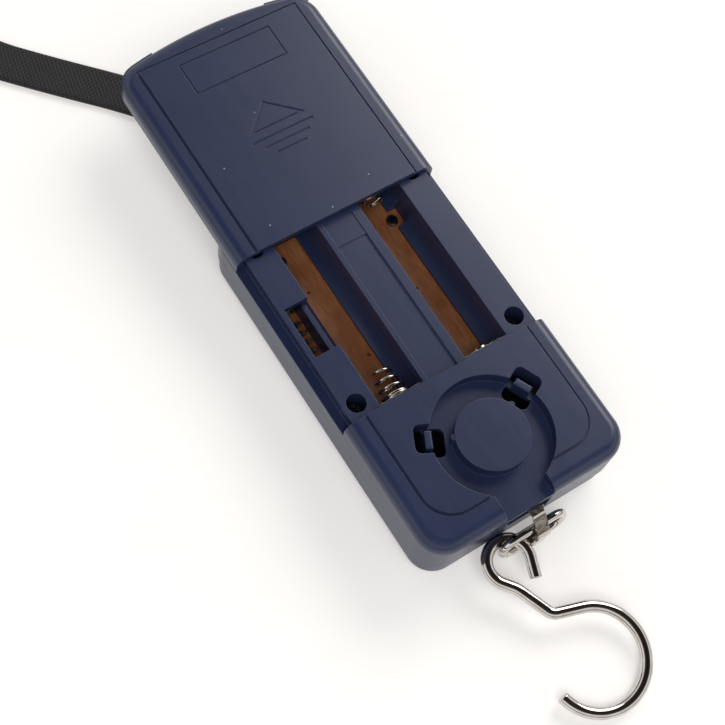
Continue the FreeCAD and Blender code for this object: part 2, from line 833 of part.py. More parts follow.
# A springy catch stands in each window, on a bar across its foot, and a nib on the boss.
for turn in (S.window_angle, 180 - S.window_angle):
    sketch = sketch_on(rear, "XY_Plane", hollow_top, (0.0, well_y), turn)
    rectangle(
        sketch,
        S.catch_inner,
        S.catch_outer,
        -S.window_half_width - 0.2,
        S.window_half_width + 0.2,
    )
    pad(rear, sketch, S.ceiling_wall - 0.2)
    sketch = sketch_on(rear, "XY_Plane", hollow_top, (0.0, well_y), turn)
    rectangle(
        sketch, S.catch_inner, S.catch_outer, -S.catch_half_width, S.catch_half_width
    )
    finger = pad(rear, sketch, back_level - S.catch_drop - hollow_top)
    dress(rear, "Fillet", finger, lambda e: level(e, back_level - S.catch_drop), 0.4)
    sketch = sketch_on(rear, "XY_Plane", well_floor - 0.2, (0.0, well_y), turn)
    circle(sketch, S.well_boss_radius, 0.0, 0.8)
    pad(rear, sketch, S.well_depth - 0.2)

# Opening under the mouth where the pull band comes out.
sketch = sketch_on(rear, "XY_Plane", S.parting_level)
rectangle(sketch, -7.0, S.channel_right, hook_end - 1, hook_end + S.wall + 1)
pocket(rear, sketch, hollow_top - S.parting_level, backwards=True)

# Rails for the cover along both sides of the deck.
rail_low = ledge_level + S.rail_rise
rail_high = rail_low + S.rail_height
for sign in (-1, 1):
    sketch = sketch_on(rear, "XZ_Plane", -step_line)
    rectangle(
        sketch,
        (deck_side - S.rail_depth) * sign,
        (deck_side + 1) * sign,
        rail_low,
        rail_high,
    )
    pocket(rear, sketch, S.case_length)

# ---------------------------------------------------------------- battery cover

cover = new_body("battery_cover")
nodes.append(cover)
cover_low = step_line + S.cover_gap
cover_foot = ledge_level + S.cover_gap
sketch = sketch_on(cover, "XY_Plane", cover_foot)
case_outline(sketch, 0.0, cover_low, 0)
base = pad(cover, sketch, rim_level - cover_foot)
dress(
    cover,
    "Fillet",
    base,
    lambda e: level(e, rim_level) and away_from(e, cover_low),
    S.rim_round,
)
sketch = sketch_on(cover, "XY_Plane", rim_level - 0.2)
panel_high = strap_end - 6
rounded_rectangle(
    sketch, -S.panel_half_width, S.panel_half_width, cover_low, panel_high, 0.6
)
pad(cover, sketch, S.panel_rise + 0.2)
sketch = sketch_on(cover, "XY_Plane", rim_level)
wide = S.panel_half_width + S.groove_width
rectangle(sketch, -wide, wide, cover_low - 2, panel_high + S.groove_width)
rectangle(sketch, -S.panel_half_width, S.panel_half_width, cover_low - 1, panel_high)
pocket(cover, sketch, S.groove_depth)
sketch = sketch_on(cover, "XY_Plane", cover_foot)
rounded_rectangle(
    sketch,
    -deck_side - S.cover_gap,
    deck_side + S.cover_gap,
    cover_low - 8,
    deck_end + S.cover_gap,
    S.case_corner - S.ledge_width,
)
pocket(cover, sketch, deck_level - ledge_level, backwards=True)
for sign in (-1, 1):
    sketch = sketch_on(cover, "XZ_Plane", -cover_low)
    rectangle(
        sketch,
        (deck_side - S.rail_depth + S.rail_gap) * sign,
        (deck_side + S.cover_gap + 0.5) * sign,
        rail_low + S.rail_gap,
        rail_high - S.rail_gap,
    )
    pad(cover, sketch, S.cover_lip_length, backwards=True)

# Arrow and grip lines that say which way the cover slides, and a bare label panel.
arrow_y = step_line + 33.0


def flat_ring(sketch, outer, inner):
    polygon(sketch, outer)
    polygon(sketch, inner)


sketch = sketch_on(cover, "XY_Plane", back_level)
flat_ring(
    sketch,
    [(-8.0, arrow_y - 5), (8.0, arrow_y - 5), (0.0, arrow_y + 2.4)],
    [(-6.2, arrow_y - 4.4), (6.2, arrow_y - 4.4), (0.0, arrow_y + 1.4)],
)
for k, half in enumerate((8.6, 6.4, 4.2)):
    y = arrow_y - 7.4 - 2.3 * k
    rectangle(sketch, -half, half, y - 0.35, y + 0.35)
pocket(cover, sketch, S.mark_depth)
label_y = strap_end - 13.5
sketch = sketch_on(cover, "XY_Plane", back_level)
rectangle(sketch, -13.0, 13.0, label_y - 4.8, label_y + 4.8)
rectangle(sketch, -12.5, 12.5, label_y - 4.3, label_y + 4.3)
pocket(cover, sketch, S.mark_depth)
cover.setExpression(".Placement.Base.y", "sizes.cover_open")

# ---------------------------------------------------------------- case screws


def pan_screw(radius, length, head_radius, head_height):
    """A pan-head screw standing head up, its head's underside at the origin."""
    head = Part.makeCylinder(head_radius, head_height)
    top = [e for e in head.Edges if level(e, head_height)]
    head = head.makeFillet(head_height * 0.45, top)
    shank = Part.makeCylinder(radius, length, Vector(0, 0, -length))
    slot = 0.5 * head_radius
    for angle in (0, 90):
        bar = Part.makeBox(2 * slot, 0.5, 0.9, Vector(-slot, -0.25, head_height - 0.9))
        bar.rotate(Vector(0, 0, 0), Vector(0, 0, 1), angle)
        head = head.cut(bar)
    return head.fuse(shank).removeSplitter()


screws = []
for sign in (-1, 1):
    for y in screw_rows:
        screw = pan_screw(
            SIZES["screw_radius"],
            SIZES["screw_grip"],
            SIZES["screw_head_radius"],
            SIZES["screw_head_height"],
        )
        screw.rotate(Vector(0, 0, 0), Vector(0, 0, 1), 25 + 40 * len(screws))
        screw.translate(Vector(sign * SIZES["screw_spacing"] / 2, number(y), number(screw_seat)))
        screws.append(screw)
nodes.append(plain("case_screws", Part.makeCompound(screws)))

# ---------------------------------------------------------------- display

lens = new_body("display_lens")
nodes.append(lens)
lens_half = S.view_width / 2 + S.view_rebate - S.fit_gap
lens_rise = S.view_height / 2 + S.view_rebate - S.fit_gap
sketch = sketch_on(lens, "XY_Plane", S.lens_recess)
rounded_rectangle(
    sketch,
    -lens_half,
    lens_half,
    S.view_middle - lens_rise,
    S.view_middle + lens_rise,
    S.view_rebate + 0.8,
)
pad(lens, sketch, S.lens_thickness)

module = new_body("display_module")
nodes.append(module)
module_low = S.floor_wall + 0.1
sketch = sketch_on(module, "XY_Plane", module_low)
rectangle(
    sketch,
    -(S.view_width / 2) - S.glass_margin,
    S.view_width / 2 + S.glass_margin,
    S.view_middle - S.view_height / 2 - S.glass_margin,
    S.view_middle + S.view_height / 2 + S.glass_margin,
)
pad(module, sketch, S.glass_thickness)

strips = new_body("display_connector")
nodes.append(strips)
strip_low = module_low + S.glass_thickness
sketch = sketch_on(strips, "XY_Plane", strip_low)
strip_y = S.view_middle - S.view_height / 2 + 1
rectangle(sketch, -(S.view_width / 2) + 1, S.view_width / 2 - 1, strip_y - 1, strip_y + 1)
pad(strips, sketch, board_bottom - strip_low)

# ---------------------------------------------------------------- circuit board

board = new_body("circuit_board")
nodes.append(board)
sketch = sketch_on(board, "XY_Plane", board_bottom)
tab_low = port_low - 2
tab_high = port_high + 2
polygon(
    sketch,
    [
        (-S.board_half_width, -S.button_row - S.board_tail),
        (S.board_half_width, -S.button_row - S.board_tail),
        (S.board_half_width, board_end),
        (-S.board_half_width, board_end),
        (-S.board_half_width, tab_high),
        (-S.port_left - 0.6, tab_high),
        (-S.port_left - 0.6, tab_low),
        (-S.board_half_width, tab_low),
    ],
)
pad(board, sketch, S.board_thickness)
sketch = sketch_on(board, "XY_Plane", board_top)
for sign in (-1, 1):
    for y in screw_rows:
        circle(sketch, S.screw_spacing / 2 * sign, y, S.boss_radius + S.cover_gap)
for x, y in post_places:
    circle(sketch, x, y, S.board_screw_radius + S.fit_gap)
for x, y in ((9.9, -3.8), (-9.6, 3.0), (-13.4, 24.0), (10.4, 12.0)):
    circle(sketch, x, y, 0.4)
pocket(board, sketch, S.board_thickness)

board_screws = []
for x, y in post_places:
    screw = pan_screw(SIZES["board_screw_radius"], 3.6, 1.5, 0.9)
    screw.translate(Vector(number(x), number(y), number(board_top)))
    board_screws.append(screw)
nodes.append(plain("board_screws", Part.makeCompound(board_screws)))

chip = new_body("controller_chip")
nodes.append(chip)
sketch = sketch_on(chip, "XY_Plane", board_bottom)
rectangle(sketch, -5.0, 5.0, -11.0, -3.0)
pad(chip, sketch, 1.6, backwards=True)

# Setting header in the port: a comb-like socket strip and four pins bent down to the board.
header_x = -20.2
header_y = (port_low + port_high) / 2 + 1.4
comb_left = -S.port_left + 0.5
header = new_body("header_base")
nodes.append(header)
sketch = sketch_on(header, "XY_Plane", board_top)
rectangle(
    sketch, comb_left, comb_left + 1.3, header_y - S.header_pitch * 2, header_y + S.header_pitch * 2
)
pad(header, sketch, 1.6)
pins = []
pin_half = 0.32
pin_top = number(board_top) + 2.4
comb_right = number(comb_left) + 2.6
for k in (-1.5, -0.5, 0.5, 1.5):
    y = header_y + S.header_pitch * k
    sketch = sketch_on(header, "XY_Plane", board_top)
    rectangle(sketch, comb_left, comb_left + 2.6, y - 0.65, y + 0.65)
    tooth = pad(header, sketch, 2.6)
    post = Part.makeBox(2 * pin_half, 2 * pin_half, 2.4, Vector(header_x - pin_half, number(y) - pin_half, number(board_top)))
    reach = header_x - comb_right
    leg = Part.makeBox(reach, 2 * pin_half, 2 * pin_half, Vector(comb_right, number(y) - pin_half, pin_top - 1.0))
    pins.append(post.fuse(leg).removeSplitter())
nodes.append(plain("header_pins", Part.makeCompound(pins)))

# ---------------------------------------------------------------- buttons and keypad

button_names = ("button_unit", "button_power", "button_tare")
for place, name in zip((-1, 0, 1), button_names):
    button = new_body(name)
    nodes.append(button)
    middle = S.button_pitch * place
    sketch = sketch_on(button, "XY_Plane", S.button_recess)
    rounded_rectangle(
        sketch,
        middle - S.button_width / 2,
        middle + S.button_width / 2,
        -S.button_row - S.button_height / 2,
        -S.button_row + S.button_height / 2,
        S.button_height / 2 - 0.1,
    )
    cap = pad(button, sketch, S.floor_wall + S.fit_gap - S.button_recess)
    dress(button, "Fillet", cap, lambda e: level(e, S.button_recess), 0.5)
    sketch = sketch_on(button, "XY_Plane", S.floor_wall + S.fit_gap)
    rounded_rectangle(
        sketch,
        middle - S.button_width / 2 - S.button_flange,
        middle + S.button_width / 2 + S.button_flange,
        -S.button_row - S.button_height / 2 - S.button_flange,
        -S.button_row + S.button_height / 2 + S.button_flange,
        S.button_height / 2,
    )
    pad(button, sketch, S.flange_thickness)

keypad = new_body("keypad")
nodes.append(keypad)
sketch = sketch_on(keypad, "XY_Plane", board_bottom)
rounded_rectangle(
    sketch,
    -(S.button_pitch * 1.45),
    S.button_pitch * 1.45,
    -S.button_row - 6,
    -S.button_row + 6,
    2.0,
)
pad(keypad, sketch, S.pad_sheet, backwards=True)
dome_foot = S.floor_wall + S.fit_gap + S.flange_thickness + S.button_travel + 0.2
sketch = sketch_on(keypad, "XY_Plane", board_bottom - S.pad_sheet / 2)
for place in (-1, 0, 1):
    circle(sketch, S.button_pitch * place, -S.button_row, 2.6)
pad(keypad, sketch, board_bottom - S.pad_sheet / 2 - dome_foot, backwards=True)

# ---------------------------------------------------------------- battery contacts

plate_thickness = 0.3
plate_half = S.bay_width / 2 - 0.7
plate_low = S.parting_level + 1.2
plate_high = deck_level - 1.0
for name, sign in (("contact_negative", -1), ("contact_positive", 1)):
    plate = new_body(name)
    nodes.append(plate)
    middle = S.bay_spacing / 2 * sign
    sketch = sketch_on(plate, "XZ_Plane", -bay_low - 0.1)
    rectangle(sketch, middle - plate_half, middle + plate_half, plate_low + 3, plate_high)
    base = pad(plate, sketch, plate_thickness, backwards=True)
    if sign > 0:
        sketch = sketch_on(plate, "XZ_Plane", -bay_low - 0.3)
        circle(sketch, middle, trough_level, 2.2)
        pad(plate, sketch, 0.9, backwards=True)

bridge = new_body("contact_bridge")
nodes.append(bridge)
sketch = sketch_on(bridge, "XZ_Plane", -bay_high + 0.1 + plate_thickness)
rectangle(
    sketch,
    -(S.bay_spacing / 2) - plate_half,
    -(S.bay_spacing / 2) + plate_half,
    plate_low + 3,
    plate_high,
)
pad(bridge, sketch, plate_thickness, backwards=True)


def coil_spring(x, foot_y, length, turns, wide, narrow, wire):
    """A conical compression spring standing on a contact plate, pointing along +Y."""
    sides, steps = 8, 16
    spread = 2 * math.pi / sides
    reach = wire * math.sqrt(spread / math.sin(spread))
    rings = []
    for step in range(int(turns * steps) + 1):
        along = step / steps / turns
        out = heading(360 * step / steps)
        centre = out * (wide + (narrow - wide) * along)
        centre += Vector(0, 0, wire + (length - 2 * wire) * along)
        corners = []
        for k in range(sides):
            angle = spread * (k + 0.5)
            shift = out * math.cos(angle) + Vector(0, 0, 1) * math.sin(angle)
            corners.append(centre + shift * reach)
        rings.append(Part.makePolygon(corners + corners[:1]))
    coil = Part.makeLoft(rings, True, True)
    coil.rotate(Vector(0, 0, 0), Vector(1, 0, 0), -90)
    coil.translate(Vector(x, foot_y, number(trough_level)))
    return coil


spring_wire = 0.35
left_foot = number(bay_low) + 0.1 + plate_thickness + 0.05
right_foot = number(bay_high) - 0.1 - plate_thickness - 0.05
bay_x = number(S.bay_spacing / 2)
left_spring = coil_spring(-bay_x, left_foot, 8.2, 3.5, 3.5, 2.2, spring_wire)
right_spring = coil_spring(bay_x, -right_foot, 8.2, 3.5, 3.5, 2.2, spring_wire)
right_spring.rotate(Vector(bay_x, 0, 0), Vector(0, 0, 1), 180)
nodes.append(plain("spring_left", left_spring))
nodes.append(plain("spring_right", right_spring))

spring_plate = new_body("contact_spring_plate")
nodes.append(spring_plate)
sketch = sketch_on(spring_plate, "XZ_Plane", -bay_high + 0.1 + plate_thickness)
rectangle(
    sketch,
    S.bay_spacing / 2 - plate_half,
    S.bay_spacing / 2 + plate_half,
    plate_low + 3,
    plate_high,
)
pad(spring_plate, sketch, plate_thickness, backwards=True)

# ---------------------------------------------------------------- load cell

cell_low_y = hook_end + S.cell_from_end
cell_top = hollow_top - S.band_thickness - 0.3
cell_bottom = cell_top - S.cell_thickness
cell = new_body("load_cell")
nodes.append(cell)
sketch = sketch_on(cell, "XY_Plane", cell_bottom)
cell_middle_x = S.band_shift
rectangle(
    sketch,
    cell_middle_x - S.cell_width / 2,
    cell_middle_x + S.cell_width / 2,
    cell_low_y,
    cell_low_y + S.cell_length,
)
pad(cell, sketch, S.cell_thickness)
sketch = sketch_on(cell, "YZ_Plane", cell_middle_x + S.cell_width / 2)
cell_mid_y = cell_low_y + S.cell_length / 2
cell_mid_z = (cell_top + cell_bottom) / 2
for k in (-1, 1):
    circle(sketch, cell_mid_y + 2.6 * k, cell_mid_z, 2.1)
rectangle(
    sketch, cell_mid_y - 0.9, cell_mid_y + 0.9, cell_mid_z - 0.8, cell_mid_z + 0.8
)
pocket(cell, sketch, S.cell_width)
fixed_y = cell_low_y + S.cell_length - 3.0
cell_screw_places = (fixed_y, fixed_y - 6.0)
rivet_y = cell_low_y + 3.0
sketch = sketch_on(cell, "XY_Plane", cell_top)
for y in (*cell_screw_places, rivet_y):
    circle(sketch, cell_middle_x, y, 1.0)
pocket(cell, sketch, S.cell_thickness)

# The rear case has a raised seat over the fixed end of the cell.
sketch = sketch_on(rear, "XY_Plane", hollow_top + 0.2)
rectangle(
    sketch,
    cell_middle_x - S.cell_width / 2 + 0.4,
    cell_middle_x + S.cell_width / 2 - 0.4,
    fixed_y - 9.0,
    fixed_y + 2.6,
)
pad(rear, sketch, hollow_top - cell_top + 0.2, backwards=True)
sketch = sketch_on(rear, "XY_Plane", cell_top)
for y in cell_screw_places:
    circle(sketch, cell_middle_x, y, 1.0)
pocket(rear, sketch, 1.8, backwards=True)

cell_screws = []
for y in cell_screw_places:
    screw = pan_screw(1.0, 6.8, 1.9, 0.8)
    screw.rotate(Vector(0, 0, 0), Vector(1, 0, 0), 180)
    screw.translate(Vector(number(cell_middle_x), number(y), number(cell_bottom)))
    cell_screws.append(screw)
nodes.append(plain("load_cell_screws", Part.makeCompound(cell_screws)))

gauges = []
for k in (-1, 1):
    gauge = Part.makeBox(3.2, 3.4, 0.15, Vector(-1.6, -1.7, 0))
    y = number(cell_mid_y) + 2.6 * k
    gauge.translate(Vector(number(cell_middle_x), y, number(cell_top)))
    gauges.append(gauge)
nodes.append(plain("strain_gauges", Part.makeCompound(gauges)))

# ---------------------------------------------------------------- pull band, link and hook

link_y = number(hook_end - S.link_out)
link_z = SIZES["link_height"]
link_half = (SIZES["link_width"] - 2 * SIZES["link_wire"]) / 2
lean = math.radians(SIZES["link_lean"])
low_bar = Vector(0, link_y - link_half * math.sin(lean), link_z - link_half * math.cos(lean))
wrap = SIZES["link_wire"] + 0.15 + SIZES["band_thickness"] / 2
band_z = number(cell_top) + SIZES["band_thickness"] / 2
band_points = [
    Vector(0, number(rivet_y) + 3.0, band_z),
    Vector(0, number(hook_end) - 1.7, band_z),
    Vector(0, low_bar.y - 1.75, low_bar.z + 7.2),
    Vector(0, low_bar.y - wrap, low_bar.z - wrap),
    Vector(0, low_bar.y + wrap, low_bar.z - wrap),
    Vector(0, low_bar.y + wrap, low_bar.z + 1.6),
    Vector(0, low_bar.y - 0.65, low_bar.z + 4.3),
]
half_band = SIZES["band_width"] / 2
half_thick = SIZES["band_thickness"] / 2
start = band_points[0]
band_profile = Part.makePolygon(
    [start + Vector(x, 0, z) for x, z in (
        (-half_band, -half_thick),
        (half_band, -half_thick),
        (half_band, half_thick),
        (-half_band, half_thick),
        (-half_band, -half_thick),
    )]
)
band = swept(band_points, [1.2, 2.0, wrap, wrap, 1.0], band_profile, "pull_band")
hole = Part.makeCylinder(1.0, 4.0, Vector(0, number(rivet_y), band_z - 2.0))
band = band.cut(hole)
band.translate(Vector(SIZES["band_shift"], 0, 0))
nodes.append(plain("pull_band", band))

rivet = Part.makeCylinder(1.0, SIZES["cell_thickness"] + SIZES["band_thickness"])
head = Part.makeCylinder(1.8, 0.7, Vector(0, 0, -0.7))
rivet = rivet.fuse(head).removeSplitter()
rivet.translate(Vector(SIZES["band_shift"], number(rivet_y), number(cell_bottom)))
nodes.append(plain("band_rivet", rivet))

link = new_body("oval_link")
nodes.append(link)
spine = sketch_on(link, "XY_Plane")
bar_y = S.link_width / 2 - S.link_wire
bar_x = S.link_length / 2 - S.link_width / 2
bx, by = number(bar_x), number(bar_y)
spine.addGeometry(Part.LineSegment(at(0, by), at(-bx, by)), False)
spine.addGeometry(arc_at(-bx, 0, by, 90, 270), False)
spine.addGeometry(Part.LineSegment(at(-bx, -by), at(bx, -by)), False)
spine.addGeometry(arc_at(bx, 0, by, -90, 90), False)
spine.addGeometry(Part.LineSegment(at(bx, by), at(0, by)), False)
for i, kind in enumerate(("Tangent", "Tangent", "Tangent", "Tangent", "Coincident")):
    spine.addConstraint(Sketcher.Constraint(kind, i, 2, (i + 1) % 5, 1))
for line in (0, 2, 4):
    spine.addConstraint(Sketcher.Constraint("Horizontal", line))
hold(spine, "DistanceX", 0, 1, 0)
hold(spine, "DistanceY", 0, 1, bar_y)
hold(spine, "DistanceX", 1, 3, -bar_x)
hold(spine, "DistanceY", 1, 3, 0)
hold(spine, "DistanceX", 3, 3, bar_x)
section = sketch_on(link, "YZ_Plane")
circle(section, bar_y, 0, S.link_wire)
pipe = link.newObject("PartDesign::AdditivePipe", "link_pipe")
pipe.Profile = section
pipe.Spine = spine
doc.recompute()
link.Placement = Placement(
    Vector(-SIZES["link_shift"], link_y, link_z),
    Rotation(Vector(1, 0, 0), 90 - SIZES["link_lean"]),
)

# The hook's wire lies in one plane, drawn round the centre of its eye: a short stub, the
# open eye, a slim neck and the large round bend that holds the load.
eye = SIZES["hook_eye_radius"]
bend = SIZES["hook_bend_radius"]
wire = SIZES["hook_wire"]
bend_centre = Vector(5.7, -28.8, 0)


def crossing(p, p_way, q, q_way):
    """Where the line from p along p_way meets the line from q along q_way."""
    gap = q - p
    along = (gap.x * q_way.y - gap.y * q_way.x) / (p_way.x * q_way.y - p_way.y * q_way.x)
    return p + p_way * along


stub_angle, eye_out, bend_in, bend_end = -18, 220, 72, -167
neck_place, neck_way = Vector(0.2, -10.5, 0), heading(-65.8)
stub_join = polar(Vector(), eye, stub_angle)
stub_end = stub_join + heading(stub_angle - 90) * 5.0
eye_exit = polar(Vector(), eye, eye_out)
bend_entry = polar(bend_centre, bend, bend_in)
upper = crossing(eye_exit, heading(eye_out + 90), neck_place, neck_way)
lower = crossing(neck_place, neck_way, bend_entry, heading(bend_in - 90))


def round_corner(before, corner, after, radius):
    """The tangent arc that rounds one corner, as its start, middle and end."""
    into = (corner - before).normalize()
    out = (after - corner).normalize()
    turn = into.getAngle(out)
    back = radius * math.tan(turn / 2)
    bulge = (out - into).normalize() * (radius / math.cos(turn / 2) - radius)
    return corner - into * back, corner + bulge, corner + out * back


neck_top = round_corner(eye_exit, upper, lower, 8.0)
neck_foot = round_corner(upper, lower, bend_entry, 3.0)
hook_edges = [
    Part.LineSegment(stub_end, stub_join).toShape(),
    Part.Arc(stub_join, polar(Vector(), eye, 100), eye_exit).toShape(),
    Part.LineSegment(eye_exit, neck_top[0]).toShape(),
    Part.Arc(*neck_top).toShape(),
    Part.LineSegment(neck_top[2], neck_foot[0]).toShape(),
    Part.Arc(*neck_foot).toShape(),
    Part.LineSegment(neck_foot[2], bend_entry).toShape(),
    Part.Arc(
        bend_entry, polar(bend_centre, bend, -48), polar(bend_centre, bend, bend_end)
    ).toShape(),
]
hook = rod(hook_edges, wire, "hook")
tips = (stub_end, polar(bend_centre, bend, bend_end))
ends = [e for e in hook.Edges if min((e.CenterOfMass - tip).Length for tip in tips) < 1e-3]
hook = hook.makeFillet(0.4, ends)
nodes.append(plain("hook", hook))
hook_tilt = SIZES["hook_tilt"]
eye_x = -SIZES["hook_eye_left"]
eye_y = number(hook_end - S.hook_eye_out)
eye_z = wire + (bend - bend_centre.y) * math.sin(math.radians(hook_tilt))
nodes[-1].Placement = Placement(
    Vector(eye_x, eye_y, eye_z), Rotation(Vector(1, 0, 0), hook_tilt)
)

# ---------------------------------------------------------------- strap

strap_half = SIZES["strap_width"] / 2
strap_thick = SIZES["strap_thickness"]
pin_radius = SIZES["strap_pin_radius"]
pin_y = number(pin_y)
pin_z = number(slot_low) + (SIZES["parting_level"] - number(slot_low)) / 2
leg_rise = pin_radius + 0.05 + strap_thick / 2
joint_y = number(strap_end) - 3.0
pin = Part.makeCylinder(
    pin_radius,
    SIZES["strap_pin_length"],
    Vector(-SIZES["strap_pin_length"] / 2, pin_y, pin_z),
    Vector(1, 0, 0),
)
nodes.append(plain("strap_pin", pin))
inner, outer = pin_radius + 0.05, pin_radius + 0.05 + strap_thick
eye_ring = Part.makeCylinder(outer, 2 * strap_half, Vector(-strap_half, pin_y, pin_z), Vector(1, 0, 0))
eye_legs = Part.makeBox(2 * strap_half, joint_y - pin_y, 2 * outer, Vector(-strap_half, pin_y, pin_z - outer))
eye_core = Part.makeCylinder(inner, 2 * strap_half, Vector(-strap_half, pin_y, pin_z), Vector(1, 0, 0))
eye_gap = Part.makeBox(2 * strap_half, 10.0, 2 * inner, Vector(-strap_half, pin_y, pin_z - inner))
strap_eye = eye_ring.fuse(eye_legs).cut(eye_core).cut(eye_gap).removeSplitter()
nodes.append(plain("strap_eye", strap_eye))

# The pin lies in slots across two lugs of the front case.
for sign in (-1, 1):
    sketch = sketch_on(front, "XY_Plane", S.floor_wall - 0.5)
    lug_x = S.strap_pin_length / 2 * sign
    rectangle(sketch, lug_x - 2.5, lug_x + 2.5, pin_y - S.lug_half, pin_y + S.lug_half)
    pad(front, sketch, S.parting_level - S.floor_wall + 0.5)
    sketch = sketch_on(front, "XY_Plane", S.parting_level)
    rectangle(sketch, -S.strap_pin_length / 2, S.strap_pin_length / 2,
              pin_y - pin_radius, pin_y + pin_radius)
    pocket(front, sketch, SIZES["parting_level"] - pin_z + pin_radius)

# The strap leaves its slot, runs out over the table, and ends in a hand loop whose end comes
# back over it inside a keeper.
flat_z = strap_thick / 2 + 0.05
keeper_z = flat_z + 1.15
return_z = keeper_z + strap_thick + 0.4
strap_route = [
    Vector(0, joint_y + 0.15, pin_z - leg_rise),
    Vector(0, 61, 4.0),
    Vector(-6, 79, flat_z),
    Vector(-19, 96, flat_z),
    Vector(-36, 113, flat_z),
    Vector(-50, 128, flat_z),
    Vector(-57, 146, keeper_z),
    Vector(-52.5, 168, keeper_z),
    Vector(-71, 202, flat_z),
    Vector(-69, 220, flat_z),
    Vector(-56, 232, flat_z),
    Vector(-39, 234, flat_z),
    Vector(-24, 225, flat_z),
    Vector(-17, 209, flat_z),
    Vector(-22, 192, flat_z + 0.45),
    Vector(-52.5, 168, return_z),
    Vector(-56, 151, return_z),
]
strap_edges = []
start = strap_route[0]
radii = []
for before, corner, after in zip(strap_route, strap_route[1:], strap_route[2:]):
    run = min((corner - before).Length, (after - corner).Length)
    turn = (corner - before).getAngle(after - corner)
    radii.append(0.45 * run / math.tan(turn / 2))
    arc = round_corner(before, corner, after, radii[-1])
    strap_edges.append(Part.LineSegment(start, arc[0]).toShape())
    strap_edges.append(Part.Arc(*arc).toShape())
    start = arc[2]
strap_edges.append(Part.LineSegment(start, strap_route[-1]).toShape())
strap_spine = Part.Wire(strap_edges)
print("strap length", round(strap_spine.Length, 1), "arc radii", [round(r, 1) for r in radii])
sweep = Part.BRepOffsetAPI.MakePipeShell(strap_spine)
sweep.setBiNormalMode(Vector(0, 0, 1))
corners = [
    strap_route[0] + Vector(x * strap_half, 0, z * strap_thick / 2)
    for x, z in ((-1, -1), (1, -1), (1, 1), (-1, 1), (-1, -1))
]
sweep.add(Part.makePolygon(corners))
sweep.build()
sweep.makeSolid()
strap = sweep.shape()
print("strap volume", strap.Volume, "expected", strap_spine.Length * 2 * strap_half * strap_thick)
nodes.append(plain("webbing_strap", strap))

# Keeper: a moulded sleeve round both layers of the strap, in line with the run through it.
keeper_in, keeper_out = strap_route[6], strap_route[7]
keeper = new_body("strap_keeper")
nodes.append(keeper)
keeper_half = S.strap_width / 2 + 2.0
sketch = sketch_on(keeper, "XZ_Plane", -S.keeper_length / 2)
rounded_rectangle(sketch, -keeper_half, keeper_half, 0.02, return_z + strap_thick / 2 + 1.2, 1.2)
pad(keeper, sketch, S.keeper_length)
sketch = sketch_on(keeper, "XZ_Plane", -S.keeper_length / 2)
slot_half = S.strap_width / 2 + 0.7
keeper_bottom = keeper_z - strap_thick / 2 - 0.2
keeper_top = return_z + strap_thick / 2 + 0.2
rectangle(sketch, -slot_half, slot_half, keeper_bottom, keeper_top)
pocket(keeper, sketch, S.keeper_length, backwards=True)
keeper_way = keeper_out - keeper_in
keeper_turn = math.degrees(math.atan2(-keeper_way.x, keeper_way.y))
keeper_middle = (keeper_in + keeper_out) / 2
keeper.Placement = Placement(
    Vector(keeper_middle.x, keeper_middle.y, 0), Rotation(Vector(0, 0, 1), keeper_turn)
)

# ---------------------------------------------------------------- checks and export

doc.recompute()
for item in doc.Objects:
    if "Invalid" in item.State or "Error" in item.State:
        raise RuntimeError(f"{item.Label} failed: {item.State}")
for node in nodes:
    if node.Shape.isNull() or not node.Shape.isValid():
        raise RuntimeError(f"{node.Label} has no valid shape")
for node in nodes:
    node.Shape.exportStep(f"parts/{node.Label}.step")
print(len(nodes), "nodes written")
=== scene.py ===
import math

import bmesh
import bpy
from mathutils import Matrix, Vector


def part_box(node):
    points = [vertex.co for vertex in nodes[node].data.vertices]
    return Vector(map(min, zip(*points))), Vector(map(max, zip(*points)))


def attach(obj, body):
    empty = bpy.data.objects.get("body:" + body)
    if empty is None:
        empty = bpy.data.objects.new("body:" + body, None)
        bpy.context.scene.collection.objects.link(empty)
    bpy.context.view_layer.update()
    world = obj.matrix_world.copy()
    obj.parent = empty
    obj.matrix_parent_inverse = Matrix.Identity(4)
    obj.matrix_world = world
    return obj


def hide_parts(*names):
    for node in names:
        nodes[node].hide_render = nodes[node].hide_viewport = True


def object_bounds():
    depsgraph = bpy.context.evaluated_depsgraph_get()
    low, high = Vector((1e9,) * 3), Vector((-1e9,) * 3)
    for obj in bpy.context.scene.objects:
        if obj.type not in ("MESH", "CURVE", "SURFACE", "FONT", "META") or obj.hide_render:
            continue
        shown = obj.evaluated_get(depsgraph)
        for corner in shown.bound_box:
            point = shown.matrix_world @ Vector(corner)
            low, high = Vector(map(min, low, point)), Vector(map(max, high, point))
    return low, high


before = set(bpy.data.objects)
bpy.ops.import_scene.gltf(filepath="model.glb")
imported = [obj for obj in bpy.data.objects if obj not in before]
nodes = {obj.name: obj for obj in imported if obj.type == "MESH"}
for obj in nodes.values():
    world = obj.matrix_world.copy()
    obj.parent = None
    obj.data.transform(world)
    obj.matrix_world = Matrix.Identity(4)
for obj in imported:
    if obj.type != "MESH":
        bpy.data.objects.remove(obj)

# A hand-held hanging scale lying on its display, battery bays open, cover slid back on its
# rails. The casing is navy ABS, the load path bright chrome and nickel, the strap nylon.
# Everything is in metres. Sizes that a maker gives in millimetres are multiplied by MM.

MM = 0.001
cad_low, cad_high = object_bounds()
scene = bpy.context.scene

# ---------------------------------------------------------------- the camera

# Above the hook end, looking along the casing, with the frame turned so it runs diagonally.
CAMERA_PLACE = Vector((-119.93, -92.77, 322.50)) * MM
CAMERA_TURN, CAMERA_RISE, CAMERA_ROLL = 48.70, 65.38, -17.38
CAMERA_LENS = 72.07


def turned(degrees, axis):
    return Matrix.Rotation(math.radians(degrees), 3, axis)


